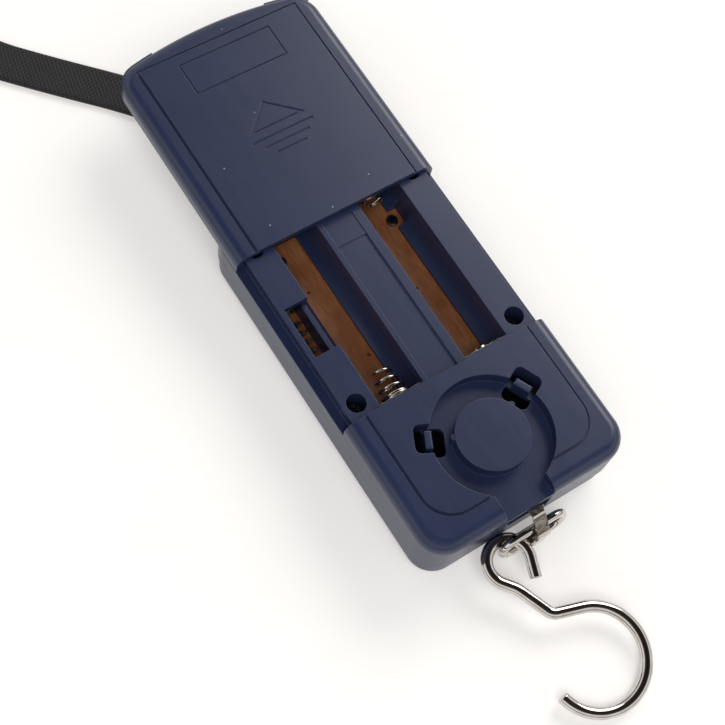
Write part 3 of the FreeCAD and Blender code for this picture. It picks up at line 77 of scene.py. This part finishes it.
camera = bpy.data.objects.new("camera", bpy.data.cameras.new("camera"))
scene.collection.objects.link(camera)
camera.location = CAMERA_PLACE
camera_way = turned(-CAMERA_TURN, "Z") @ turned(90 - CAMERA_RISE, "X") @ turned(-CAMERA_ROLL, "Z")
camera.rotation_euler = camera_way.to_euler()
camera.data.lens = CAMERA_LENS
camera.data.sensor_width = 36.0
camera.data.clip_start = 10 * MM
scene.camera = camera

# ---------------------------------------------------------------- the strap's line

STRAP_WIDTH = 11.0 * MM
STRAP_THICKNESS = 1.4 * MM
STRAP_ROUTE = [
    (0, 46.65, 4.75),
    (0, 61, 4.0),
    (-6, 79, 0.75),
    (-19, 96, 0.75),
    (-36, 113, 0.75),
    (-50, 128, 0.75),
    (-57, 146, 1.9),
    (-52.5, 168, 1.9),
    (-71, 202, 0.75),
    (-69, 220, 0.75),
    (-56, 232, 0.75),
    (-39, 234, 0.75),
    (-24, 225, 0.75),
    (-17, 209, 0.75),
    (-22, 192, 1.2),
    (-52.5, 168, 3.7),
    (-56, 151, 3.7),
]


def smooth_line(name, route, steps):
    """Points read from one smooth open spline whose control points are the route's."""
    curve = bpy.data.curves.new(name, "CURVE")
    curve.dimensions = "3D"
    curve.resolution_u = steps
    spline = curve.splines.new("NURBS")
    spline.points.add(len(route) - 1)
    for point, place in zip(spline.points, route):
        point.co = (*(Vector(place) * MM), 1.0)
    spline.order_u = 3
    spline.use_endpoint_u = True
    holder = bpy.data.objects.new(name, curve)
    scene.collection.objects.link(holder)
    bpy.context.view_layer.update()
    line = bpy.data.meshes.new_from_object(holder)
    points = [v.co.copy() for v in line.vertices]
    bpy.data.objects.remove(holder)
    bpy.data.curves.remove(curve)
    bpy.data.meshes.remove(line)
    return points


strap_line = smooth_line("strap_line", STRAP_ROUTE, 40)

# ---------------------------------------------------------------- material helpers


def linear(shade):
    """An sRGB hex colour as linear RGBA."""
    parts = [int(shade[i:i + 2], 16) / 255 for i in (1, 3, 5)]
    return (*(c / 12.92 if c <= 0.04045 else ((c + 0.055) / 1.055) ** 2.4 for c in parts), 1.0)


def add(tree, kind, sockets=None, **settings):
    """A shader node with its settings, its sockets given values or joined to others."""
    made = tree.nodes.new("ShaderNode" + kind)
    for name, value in settings.items():
        setattr(made, name, value)
    for name, value in (sockets or {}).items():
        if isinstance(value, bpy.types.NodeSocket):
            tree.links.new(value, made.inputs[name])
        else:
            made.inputs[name].default_value = value
    return made


def start(name):
    """A new material, its node tree, its surface shader and places on the piece in mm."""
    made = bpy.data.materials.new(name)
    made.use_nodes = True
    tree = made.node_tree
    place = add(tree, "TexCoord").outputs["Object"]
    in_mm = add(tree, "VectorMath", {0: place, 1: (1000.0,) * 3}, operation="MULTIPLY")
    return made, tree, tree.nodes["Principled BSDF"], in_mm.outputs[0]


def ramp(tree, factor, stops):
    """A colour ramp through (position, colour) stops."""
    made = add(tree, "ValToRGB", {"Fac": factor})
    elements = made.color_ramp.elements
    while len(elements) < len(stops):
        elements.new(0.5)
    for element, (position, colour) in zip(elements, stops):
        element.position = position
        element.color = linear(colour)
    return made.outputs["Color"]


def join(tree, surface, **sockets):
    for name, socket in sockets.items():
        tree.links.new(socket, surface.inputs[name.replace("_", " ")])


# ---------------------------------------------------------------- materials


def moulded_abs(name, dark, light, gloss_low, gloss_high, wear):
    """ABS moulded in a spark-eroded tool: satin, with a fine grain that breaks the gloss.

    Corners are softly rounded and a little rubbed, and dust sits on the faces.
    """
    made, tree, surface, mm = start(name)
    surface.inputs["IOR"].default_value = 1.53
    drift = add(tree, "TexNoise", {"Vector": mm, "Scale": 0.045, "Detail": 3.0}).outputs["Fac"]
    body = ramp(tree, drift, [(0.3, dark), (0.7, light)])
    grain = add(tree, "TexNoise", {"Vector": mm, "Scale": 2.6, "Detail": 2.0}).outputs["Fac"]
    speck = add(tree, "TexVoronoi", {"Vector": mm, "Scale": 0.22, "Randomness": 1.0})
    dust_size = add(tree, "MapRange", {
        "Value": speck.outputs["Distance"], 1: 0.028, 2: 0.05, 3: 1.0, 4: 0.0,
    })
    lint = add(tree, "TexWhiteNoise", {"Vector": speck.outputs["Position"]})
    chosen = add(tree, "Math", {0: lint.outputs["Value"], 1: 0.72}, operation="GREATER_THAN")
    dust = add(tree, "Math", {0: dust_size.outputs[0], 1: chosen.outputs[0]}, operation="MULTIPLY")
    dusted = add(tree, "MixRGB", {
        "Fac": dust.outputs[0], "Color1": body, "Color2": linear("#9aa0b0"),
    })
    rounded = add(tree, "Bevel", {"Radius": 0.22 * MM}, samples=4)
    true_face = add(tree, "NewGeometry").outputs["Normal"]
    turn = add(tree, "VectorMath", {0: rounded.outputs[0], 1: true_face}, operation="DOT_PRODUCT")
    edge = add(tree, "MapRange", {
        "Value": turn.outputs["Value"], 1: 0.995, 2: 0.86, 3: 0.0, 4: wear,
    })
    rubbed = add(tree, "MixRGB", {
        "Fac": edge.outputs[0], "Color1": dusted.outputs[0], "Color2": linear("#5a6280"),
    })
    scuff_place = add(tree, "Mapping", {
        "Vector": mm, "Scale": (0.5, 0.06, 0.5), "Rotation": (0, 0, 0.4),
    })
    scuff = add(tree, "TexNoise", {"Vector": scuff_place.outputs[0], "Scale": 1.0, "Detail": 5.0})
    gloss = add(tree, "MapRange", {
        "Value": scuff.outputs["Fac"], 1: 0.3, 2: 0.7, 3: gloss_low, 4: gloss_high,
    })
    bump = add(tree, "Bump", {
        "Height": grain, "Strength": 0.16, "Distance": 0.05 * MM, "Normal": rounded.outputs[0],
    })
    join(tree, surface, Base_Color=rubbed.outputs[0], Roughness=gloss.outputs[0],
         Normal=bump.outputs[0])
    return made


# Navy for the casing, and pale grey for the buttons, which take less wear at their edges.
navy_abs = moulded_abs("moulded_abs_navy", "#1d2642", "#222b47", 0.3, 0.35, 0.5)
grey_abs = moulded_abs("moulded_abs_button_grey", "#8d9097", "#9a9da4", 0.3, 0.42, 0.2)


def plated_metal(name, shade, tarnish, roughness, drawn):
    """Plated metal: a bright mirror broken only by drawing marks and a little tarnish."""
    made, tree, surface, mm = start(name)
    surface.inputs["Metallic"].default_value = 1.0
    film = add(tree, "TexNoise", {"Vector": mm, "Scale": 0.35, "Detail": 4.0}).outputs["Fac"]
    colour = ramp(tree, film, [(0.35, shade), (0.75, tarnish)])
    marks = add(tree, "TexNoise", {"Vector": mm, "Scale": drawn, "Detail": 2.0}).outputs["Fac"]
    rough = add(tree, "MapRange", {
        "Value": marks, 1: 0.3, 2: 0.75, 3: roughness * 0.7, 4: roughness * 1.4,
    })
    bump = add(tree, "Bump", {"Height": marks, "Strength": 0.05, "Distance": 0.02 * MM})
    join(tree, surface, Base_Color=colour, Roughness=rough.outputs[0], Normal=bump.outputs[0])
    return made


# Drawn wire under bright chrome: a near mirror that shows the room in long streaks.
chrome_wire = plated_metal("chrome_plated_wire", "#d6d2ce", "#c4bcb4", 0.07, 0.9)
# Stamped and folded sheet under nickel: warmer, with soft reflections.
nickel_sheet = plated_metal("nickel_plated_sheet", "#d2ccc2", "#bdb3a4", 0.2, 0.8)
# Hard drawn spring wire under nickel: warm, with a bright line along each turn.
spring_wire = plated_metal("nickel_plated_spring_wire", "#d8d3ca", "#bdb4a6", 0.15, 1.0)
# Tin-dipped pins: pale and nearly matt.
tinned_pin = plated_metal("tin_plated_pin", "#e2e1de", "#cfcdc8", 0.34, 1.2)


def zinc_plated_steel():
    """Screws cold headed and zinc plated: bright grey, dulled in spots by handling."""
    made, tree, surface, mm = start("zinc_plated_steel")
    surface.inputs["Metallic"].default_value = 1.0
    mottle = add(tree, "TexNoise", {"Vector": mm, "Scale": 1.6, "Detail": 4.0}).outputs["Fac"]
    join(tree, surface, Base_Color=ramp(tree, mottle, [(0.35, "#6c6c71"), (0.8, "#a9a9ae")]))
    rough = add(tree, "MapRange", {"Value": mottle, 1: 0.3, 2: 0.7, 3: 0.28, 4: 0.5})
    join(tree, surface, Roughness=rough.outputs[0])
    return made


def milled_aluminium():
    """The load cell's bar, milled along its length: fine parallel cutter marks."""
    made, tree, surface, mm = start("milled_aluminium")
    surface.inputs["Metallic"].default_value = 1.0
    stretched = add(tree, "Mapping", {"Vector": mm, "Scale": (0.3, 6.0, 6.0)})
    marks = add(tree, "TexNoise", {"Vector": stretched.outputs[0], "Scale": 1.0, "Detail": 3.0})
    tone = ramp(tree, marks.outputs["Fac"], [(0.3, "#b9bbbf"), (0.7, "#d6d8da")])
    rough = add(tree, "MapRange", {"Value": marks.outputs["Fac"], 1: 0.3, 2: 0.7, 3: 0.26, 4: 0.42})
    bump = add(tree, "Bump", {
        "Height": marks.outputs["Fac"], "Strength": 0.2, "Distance": 0.03 * MM,
    })
    join(tree, surface, Base_Color=tone, Roughness=rough.outputs[0], Normal=bump.outputs[0])
    return made


def phenolic_board():
    """Phenolic paper board, pressed and bare: warm brown, faintly fibrous and cloudy, its hook end
    painted near black as painted shade.
    """
    made, tree, surface, mm = start("phenolic_paper_board")
    surface.inputs["IOR"].default_value = 1.55
    stretched = add(tree, "Mapping", {"Vector": mm, "Scale": (1.2, 0.25, 1.0)})
    fibre = add(tree, "TexNoise", {"Vector": stretched.outputs[0], "Scale": 1.0, "Detail": 5.0})
    paper = ramp(tree, fibre.outputs["Fac"], [(0.3, "#75492e"), (0.7, "#8c5e41")])
    cloud = add(tree, "TexNoise", {"Vector": mm, "Scale": 0.07, "Detail": 2.0}).outputs["Fac"]
    shaded = ramp(tree, cloud, [(0.35, "#d9cfc6"), (0.65, "#ffffff")])
    tone = add(tree, "MixRGB", {
        "Fac": 1.0, "Color1": paper, "Color2": shaded,
    }, blend_type="MULTIPLY")
    # The hook end of the board, past the cell contacts, is painted near black: painted shade for
    # the dark inside the hook-end windows.
    along = add(tree, "SeparateXYZ", {"Vector": mm}).outputs["Y"]
    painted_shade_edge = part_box("contact_negative")[0][1] / MM - 1.0
    painted_shade_mask = add(tree, "Math", {0: along, 1: painted_shade_edge}, operation="LESS_THAN")
    tone = add(tree, "MixRGB", {
        "Fac": painted_shade_mask.outputs[0], "Color1": tone.outputs[0], "Color2": linear("#121110"),
    })
    rough = add(tree, "MapRange", {"Value": fibre.outputs["Fac"], 1: 0.3, 2: 0.7, 3: 0.32, 4: 0.46})
    bump = add(tree, "Bump", {
        "Height": fibre.outputs["Fac"], "Strength": 0.15, "Distance": 0.03 * MM,
    })
    join(tree, surface, Base_Color=tone.outputs[0], Roughness=rough.outputs[0],
         Normal=bump.outputs[0])
    return made


def moulded_epoxy():
    """Transfer-moulded epoxy and nylon blocks: flat black, slightly grey where it is dusty."""
    made, tree, surface, mm = start("moulded_epoxy_black")
    surface.inputs["IOR"].default_value = 1.55
    grit = add(tree, "TexNoise", {"Vector": mm, "Scale": 4.0, "Detail": 3.0}).outputs["Fac"]
    rough = add(tree, "MapRange", {"Value": grit, 1: 0.3, 2: 0.7, 3: 0.45, 4: 0.65})
    join(tree, surface, Base_Color=ramp(tree, grit, [(0.3, "#15161a"), (0.7, "#25262b")]),
         Roughness=rough.outputs[0])
    return made


def clear_acrylic():
    """The display window, injection moulded and polished: clear, with hairline scratches."""
    made, tree, surface, mm = start("clear_acrylic")
    surface.inputs["IOR"].default_value = 1.49
    surface.inputs["Transmission Weight"].default_value = 1.0
    scratch_place = add(tree, "Mapping", {
        "Vector": mm, "Scale": (4.0, 0.1, 1.0), "Rotation": (0, 0, 0.7),
    })
    scratch = add(tree, "TexNoise", {
        "Vector": scratch_place.outputs[0], "Scale": 1.0, "Detail": 6.0,
    })
    tone = ramp(tree, scratch.outputs["Fac"], [(0.4, "#f2f6f5"), (0.8, "#e6ecea")])
    rough = add(tree, "MapRange", {
        "Value": scratch.outputs["Fac"], 1: 0.6, 2: 0.8, 3: 0.02, 4: 0.16,
    })
    join(tree, surface, Base_Color=tone, Roughness=rough.outputs[0])
    return made


def display_glass():
    """A liquid crystal cell that is off: grey-green, its polariser film slightly silky."""
    made, tree, surface, mm = start("liquid_crystal_glass")
    surface.inputs["IOR"].default_value = 1.52
    silk = add(tree, "TexNoise", {"Vector": mm, "Scale": 5.0, "Detail": 2.0}).outputs["Fac"]
    rough = add(tree, "MapRange", {"Value": silk, 1: 0.3, 2: 0.7, 3: 0.14, 4: 0.24})
    join(tree, surface, Base_Color=ramp(tree, silk, [(0.3, "#8b947f"), (0.7, "#969f8a")]),
         Roughness=rough.outputs[0])
    return made


def moulded_silicone():
    """Compression-moulded silicone rubber: matt, soft grey, with a faint powdery bloom."""
    made, tree, surface, mm = start("moulded_silicone")
    surface.inputs["IOR"].default_value = 1.41
    bloom = add(tree, "TexNoise", {"Vector": mm, "Scale": 1.2, "Detail": 4.0}).outputs["Fac"]
    rough = add(tree, "MapRange", {"Value": bloom, 1: 0.3, 2: 0.7, 3: 0.6, 4: 0.8})
    join(tree, surface, Base_Color=ramp(tree, bloom, [(0.3, "#4a4c50"), (0.7, "#5a5c60")]),
         Roughness=rough.outputs[0])
    return made


def gauge_foil():
    """Etched foil on polyimide: amber film crossed by fine bright grid lines 0.3 mm apart."""
    made, tree, surface, mm = start("polyimide_foil")
    lines = add(tree, "TexWave", {"Vector": mm, "Scale": 0.53, "Distortion": 0.0})
    tone = ramp(tree, lines.outputs["Fac"], [(0.45, "#b9802e"), (0.6, "#d9c9a8")])
    rough = add(tree, "MapRange", {"Value": lines.outputs["Fac"], 1: 0.0, 2: 1.0, 3: 0.3, 4: 0.5})
    join(tree, surface, Base_Color=tone, Roughness=rough.outputs[0])
    return made


PICK_SPACING = 1.1
END_SPACING = 0.8


def woven_nylon():
    """Plain-woven nylon webbing: black picks standing proud in rows, with a soft sheen, and painted
    shade darkening the hollows between them.
    """
    made, tree, surface, mm = start("woven_nylon_black")
    surface.inputs["IOR"].default_value = 1.53
    surface.inputs["Sheen Weight"].default_value = 0.1
    surface.inputs["Sheen Roughness"].default_value = 0.4
    surface.inputs["Sheen Tint"].default_value = linear("#9a9aa2")
    uv = add(tree, "UVMap", uv_map="weave").outputs["UV"]
    split = add(tree, "SeparateXYZ", {"Vector": uv})
    along, across = split.outputs["X"], split.outputs["Y"]
    # Real spacings, drawn as coarse as they show; each row is set half a step over.
    row = add(tree, "Math", {0: across, 1: 1 / END_SPACING}, operation="MULTIPLY")
    odd = add(tree, "Math", {0: row.outputs[0], 1: 2.0}, operation="FLOORED_MODULO")
    odd = add(tree, "Math", {0: odd.outputs[0], 1: 1.0}, operation="GREATER_THAN")
    step = add(tree, "Math", {0: odd.outputs[0], 1: 0.5, 2: 0.0}, operation="MULTIPLY_ADD")
    pick = add(tree, "Math", {
        0: along, 1: 1 / PICK_SPACING, 2: step.outputs[0],
    }, operation="MULTIPLY_ADD")
    u = add(tree, "Math", {0: pick.outputs[0], 1: math.tau}, operation="MULTIPLY")
    v = add(tree, "Math", {0: row.outputs[0], 1: math.tau}, operation="MULTIPLY")
    hump = add(tree, "Math", {0: u.outputs[0]}, operation="COSINE")
    edge = add(tree, "Math", {0: v.outputs[0]}, operation="COSINE")
    rise = add(tree, "Math", {0: hump.outputs[0], 1: edge.outputs[0]}, operation="MULTIPLY")
    height = add(tree, "MapRange", {"Value": rise.outputs[0], 1: -1.0, 2: 1.0, 3: 1.0, 4: 0.0})
    fuzz = add(tree, "TexNoise", {"Vector": mm, "Scale": 3.5, "Detail": 4.0}).outputs["Fac"]
    # The picks' tops are painted lighter and the hollows between them darker: painted shade on the
    # black thread.
    weave_painted_shade = ramp(tree, height.outputs[0], [(0.25, "#08080a"), (0.8, "#1b1b1f")])
    tone = add(tree, "MixRGB", {"Fac": fuzz, "Color1": weave_painted_shade, "Color2": linear("#17171a")})
    rough = add(tree, "MapRange", {"Value": fuzz, 1: 0.3, 2: 0.7, 3: 0.5, 4: 0.75})
    bump = add(tree, "Bump", {"Height": height.outputs[0], "Strength": 0.9, "Distance": 0.16 * MM})
    join(tree, surface, Base_Color=tone.outputs[0], Roughness=rough.outputs[0],
         Normal=bump.outputs[0])
    return made


zinc_steel = zinc_plated_steel()
webbing = woven_nylon()
FINISHES = {
    "front_case": navy_abs,
    "rear_case": navy_abs,
    "battery_cover": navy_abs,
    "case_screws": zinc_steel,
    "display_lens": clear_acrylic(),
    "display_module": display_glass(),
    "circuit_board": phenolic_board(),
    "board_screws": zinc_steel,
    "controller_chip": moulded_epoxy(),
    "header_pins": tinned_pin,
    "button_unit": grey_abs,
    "button_power": grey_abs,
    "button_tare": grey_abs,
    "keypad": moulded_silicone(),
    "contact_negative": nickel_sheet,
    "contact_positive": nickel_sheet,
    "contact_bridge": nickel_sheet,
    "contact_spring_plate": nickel_sheet,
    "spring_left": spring_wire,
    "spring_right": spring_wire,
    "load_cell": milled_aluminium(),
    "load_cell_screws": zinc_steel,
    "strain_gauges": gauge_foil(),
    "pull_band": nickel_sheet,
    "band_rivet": nickel_sheet,
    "oval_link": chrome_wire,
    "hook": chrome_wire,
    "strap_pin": chrome_wire,
}
FINISHES["strap_keeper"] = FINISHES["controller_chip"]
FINISHES["header_base"] = FINISHES["controller_chip"]
FINISHES["display_connector"] = FINISHES["keypad"]


def finish_with(piece, material):
    piece.data.materials.clear()
    piece.data.materials.append(material)


for name, material in FINISHES.items():
    finish_with(nodes[name], material)

# ---------------------------------------------------------------- the strap

strap_edge = STRAP_THICKNESS / 2
EDGE_STEPS = 5
FLAT_STEPS = 12


def webbing_section():
    """Half-round edges and a flat middle, as (across, up) pairs round the webbing."""
    flat = STRAP_WIDTH / 2 - strap_edge
    ring = []
    for side in (1, -1):
        for k in range(EDGE_STEPS + 1):
            a = math.pi * (k / EDGE_STEPS - 0.5)
            ring.append((side * (flat + strap_edge * math.cos(a)), side * strap_edge * math.sin(a)))
        for k in range(1, FLAT_STEPS):
            x = flat * (1 - 2 * k / FLAT_STEPS)
            ring.append((side * x, side * strap_edge))
    return ring


def ribbon(name, line, material, level=True):
    """Flat webbing swept along a line, with places along and across it.

    It lies level, or keeps its width along X where it wraps round a bar.
    """
    ring = webbing_section()
    count = len(ring)
    mesh = bpy.data.meshes.new(name)
    made = bmesh.new()
    weave = made.loops.layers.uv.new("weave")
    rows, run, lengths = [], 0.0, []
    for i, place in enumerate(line):
        before, after = line[max(i - 1, 0)], line[min(i + 1, len(line) - 1)]
        way = (after - before).normalized()
        across = way.cross(Vector((0, 0, 1))).normalized() if level else Vector((1, 0, 0))
        up = across.cross(way)
        rows.append([made.verts.new(place + across * x + up * z) for x, z in ring])
        run += (place - line[i - 1]).length if i else 0.0
        lengths.append(run)
    for i in range(len(rows) - 1):
        for k in range(count):
            n = (k + 1) % count
            face = made.faces.new((rows[i][k], rows[i][n], rows[i + 1][n], rows[i + 1][k]))
            face.smooth = True
            for loop, (step, side) in zip(face.loops, ((i, k), (i, n), (i + 1, n), (i + 1, k))):
                loop[weave].uv = (lengths[step] / MM, ring[side][0] / MM)
    made.faces.new(list(reversed(rows[0])))
    made.faces.new(rows[-1])
    bmesh.ops.recalc_face_normals(made, faces=made.faces)
    made.to_mesh(mesh)
    made.free()
    piece = bpy.data.objects.new(name, mesh)
    scene.collection.objects.link(piece)
    piece.data.materials.append(material)
    return piece, run


strap, strap_length = ribbon("wrist_strap", strap_line, webbing)
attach(strap, "case")
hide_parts("webbing_strap")

# The strap's sewn eye wraps the pin and closes on the start of the strap.
pin_low, pin_high = (Vector(corner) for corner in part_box("strap_pin"))
pin_middle = (pin_low + pin_high) / 2
eye_rise = pin_middle.z - strap_line[0].z
eye_reach = 46.5 * MM
eye_line = [Vector((0, eye_reach, pin_middle.z + eye_rise))]
for degrees in range(90, 271, 10):
    a = math.radians(degrees)
    eye_line.append(pin_middle + Vector((0, math.cos(a), math.sin(a))) * eye_rise)
eye_line.append(Vector((0, eye_reach, pin_middle.z - eye_rise)))
strap_eye, _ = ribbon("strap_eye_loop", eye_line, webbing, level=False)
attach(strap_eye, "case")
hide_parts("strap_eye")

# ---------------------------------------------------------------- the battery springs


SPRING_WIRE_RADIUS = 0.35 * MM
SPRING_TAPER = 0.63
CLOSED_TURNS = 0.8
SPRING_TURNS = 4.3
STEPS_PER_TURN = 28


def battery_spring(name, node, away):
    """Round spring wire in a cone, its first turn closed flat on the contact plate."""
    low, high = (Vector(corner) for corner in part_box(node))
    wire = SPRING_WIRE_RADIUS
    wide = (high.x - low.x) / 2 - wire
    narrow = wide * SPRING_TAPER
    rise = high.y - low.y - 2 * wire
    foot = low.y + wire if away > 0 else high.y - wire
    curve = bpy.data.curves.new(name, "CURVE")
    curve.dimensions = "3D"
    curve.bevel_depth = wire
    curve.bevel_resolution = 4
    curve.use_fill_caps = True
    spline = curve.splines.new("POLY")
    spline.points.add(int(SPRING_TURNS * STEPS_PER_TURN))
    for k, point in enumerate(spline.points):
        turn = k / STEPS_PER_TURN
        lift = max(0.0, (turn - CLOSED_TURNS) / (SPRING_TURNS - CLOSED_TURNS)) ** 1.15
        radius = wide + (narrow - wide) * lift
        a = math.tau * turn + 0.9
        place = Vector((
            (low.x + high.x) / 2 + radius * math.cos(a),
            foot + away * (lift * rise * 0.98 + 0.3 * wire * min(turn, CLOSED_TURNS)),
            (low.z + high.z) / 2 + radius * math.sin(a),
        ))
        point.co = (*place, 1.0)
    piece = bpy.data.objects.new(name, curve)
    scene.collection.objects.link(piece)
    curve.materials.append(spring_wire)
    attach(piece, "case")
    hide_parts(node)


battery_spring("battery_spring_left", "spring_left", 1)
battery_spring("battery_spring_right", "spring_right", -1)

# ---------------------------------------------------------------- the cover's corner walls

# A thin moulded wall closes each strap-end corner of the cover, just inside its outline.
COVER_CORNER = 7.0
COVER_END_RISE = 2.0
COVER_RIM_ROUND = 3.0
COVER_PANEL_RISE = 0.5
COVER_PLATE = 1.3
# The wall runs round the corner from this angle, and on along the arched end, in steps.
CORNER_FROM = 30.0
CORNER_STEPS = 14
ARCH_STEPS = 10
ARCH_TURN = 0.32
# How far the wall lies under the outline, and how deep it goes beside and over the deck.
WALL_UNDER = 0.02
WALL_DEEP = 0.24
WALL_ROOF_DEEP = 1.4
WALL_MOST_DRAWN_IN = 0.1


def rim_inset(height, rim):
    """How far the rounded rim has drawn in at a height, all in millimetres."""
    up = height - (rim - COVER_RIM_ROUND)
    if up <= 0:
        return 0.0
    return COVER_RIM_ROUND - math.sqrt(max(COVER_RIM_ROUND ** 2 - up ** 2, 0.0))


def cover_corner_wall(name, side):
    low, high = (Vector(corner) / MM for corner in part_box("battery_cover"))
    half_chord = high.x - COVER_CORNER
    arch = (half_chord ** 2 + COVER_END_RISE ** 2) / (2 * COVER_END_RISE)
    arch_y = high.y - arch
    corner_y = arch_y + math.sqrt((arch - COVER_CORNER) ** 2 - half_chord ** 2)
    lean = math.degrees(math.atan2(corner_y - arch_y, half_chord))
    places = []
    for k in range(CORNER_STEPS + 1):
        a = math.radians(CORNER_FROM + (lean - CORNER_FROM) * k / CORNER_STEPS)
        way = Vector((math.cos(a), math.sin(a), 0))
        places.append((Vector((half_chord, corner_y, 0)) + way * COVER_CORNER, way))
    for k in range(1, ARCH_STEPS + 1):
        a = math.radians(lean + ARCH_TURN * k)
        way = Vector((math.cos(a), math.sin(a), 0))
        places.append((Vector((0, arch_y, 0)) + way * arch, way))
    rim = high.z - COVER_PANEL_RISE
    plate = rim - COVER_PLATE
    foot, roof = low.z + WALL_UNDER, plate + 0.15
    heights = [foot, rim - COVER_RIM_ROUND]
    rounded = plate - heights[-1]
    heights += [heights[1] + rounded * k / 6 for k in range(1, 7)]
    # The closed cover leaves 0.3 mm here beside the deck, so the wall is thinner than that.
    profile = [(min(rim_inset(z, rim), WALL_MOST_DRAWN_IN) + WALL_UNDER, z) for z in heights]
    outer_count = len(profile)
    profile.append((rim_inset(roof, rim) + WALL_UNDER, roof))
    profile += [(WALL_ROOF_DEEP, roof), (WALL_ROOF_DEEP, plate - 0.14)]
    profile += [(WALL_DEEP, plate - 0.18), (WALL_DEEP, foot)]
    made = bmesh.new()
    rows = []
    for place, way in places:
        row = []
        for inset, z in profile:
            spot = place - way * inset
            row.append(made.verts.new(Vector((side * spot.x, spot.y, z)) * MM))
        rows.append(row)
    count = len(profile)
    for before, after in zip(rows, rows[1:]):
        for k in range(count):
            n = (k + 1) % count
            made.faces.new((before[k], before[n], after[n], after[k])).smooth = k < outer_count
    made.faces.new(rows[0])
    made.faces.new(list(reversed(rows[-1])))
    bmesh.ops.recalc_face_normals(made, faces=made.faces)
    mesh = bpy.data.meshes.new(name)
    made.to_mesh(mesh)
    made.free()
    piece = bpy.data.objects.new(name, mesh)
    scene.collection.objects.link(piece)
    piece.data.materials.append(navy_abs)
    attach(piece, "cover")


cover_corner_wall("cover_corner_wall_left", -1)
cover_corner_wall("cover_corner_wall_right", 1)

# ---------------------------------------------------------------- floor, light and air


FLOOR_SIZE = 6.0
FLOOR_GLOW = 0.33
AIR_STRENGTH = 0.9


def painted_board():
    """A seamless pale table: even, faintly mottled, and white to the eye and to metal."""
    made, tree, surface, mm = start("painted_board_pale")
    mottle = add(tree, "TexNoise", {"Vector": mm, "Scale": 0.02, "Detail": 3.0}).outputs["Fac"]
    paint = ramp(tree, mottle, [(0.3, "#dbdad9"), (0.7, "#dedddc")])
    surface.inputs["Roughness"].default_value = 0.8
    surface.inputs["Specular IOR Level"].default_value = 0.1
    # Seen directly or in metal, the table glows a little of its own, so shadows on it are soft.
    rays = add(tree, "LightPath").outputs
    seen = add(tree, "Math", {
        0: rays["Is Camera Ray"], 1: rays["Is Glossy Ray"],
    }, operation="MAXIMUM")
    glow = add(tree, "Math", {0: seen.outputs[0], 1: FLOOR_GLOW}, operation="MULTIPLY")
    join(tree, surface, Base_Color=paint, Emission_Color=paint, Emission_Strength=glow.outputs[0])
    return made


floor_mesh = bpy.data.meshes.new("floor")
half = FLOOR_SIZE / 2
floor_mesh.from_pydata(
    [(-half, -half, 0), (half, -half, 0), (half, half, 0), (-half, half, 0)], [], [(0, 1, 2, 3)]
)
floor = bpy.data.objects.new("floor", floor_mesh)
scene.collection.objects.link(floor)
floor.data.materials.append(painted_board())
floor.location.z = cad_low.z - 0.02 * MM

world = bpy.data.worlds.new("studio")
scene.world = world
world.use_nodes = True
air = world.node_tree.nodes["Background"]
sky = world.node_tree
upward = add(sky, "SeparateXYZ", {"Vector": add(sky, "TexCoord").outputs["Generated"]}).outputs["Z"]
# Pale walls light the table from all sides, between a dark skirting and a dark ceiling.
shade = ramp(sky, upward, [
    (0.0, "#2e2826"), (0.1, "#3a3330"), (0.24, "#ffffff"), (0.62, "#ffffff"),
    (0.74, "#4a423f"), (1.0, "#241f1e"),
])
seen = add(sky, "LightPath").outputs["Is Camera Ray"]
backdrop = add(sky, "MixRGB", {"Fac": seen, "Color1": shade, "Color2": linear("#fdfdfd")})
sky.links.new(backdrop.outputs[0], air.inputs["Color"])
air.inputs["Strength"].default_value = AIR_STRENGTH


def softbox(name, place, aim, size, power, shade):
    lamp = bpy.data.lights.new(name, "AREA")
    lamp.shape = "RECTANGLE"
    lamp.size, lamp.size_y = size
    lamp.energy = power
    lamp.color = linear(shade)[:3]
    holder = bpy.data.objects.new(name, lamp)
    scene.collection.objects.link(holder)
    holder.location = place
    holder.rotation_euler = (Vector(aim) - Vector(place)).to_track_quat("-Z", "Y").to_euler()
    return holder


middle = (cad_low + cad_high) / 2
softbox("key_softbox", (0.7, 0.33, 0.7), middle, (0.7, 0.5), 5.0, "#fffcf8")
front = softbox("front_softbox", (-0.3, -0.4, 0.95), middle, (0.7, 0.7), 7.0, "#fffdfa")
front.visible_glossy = False

scene.view_settings.view_transform = "Standard"
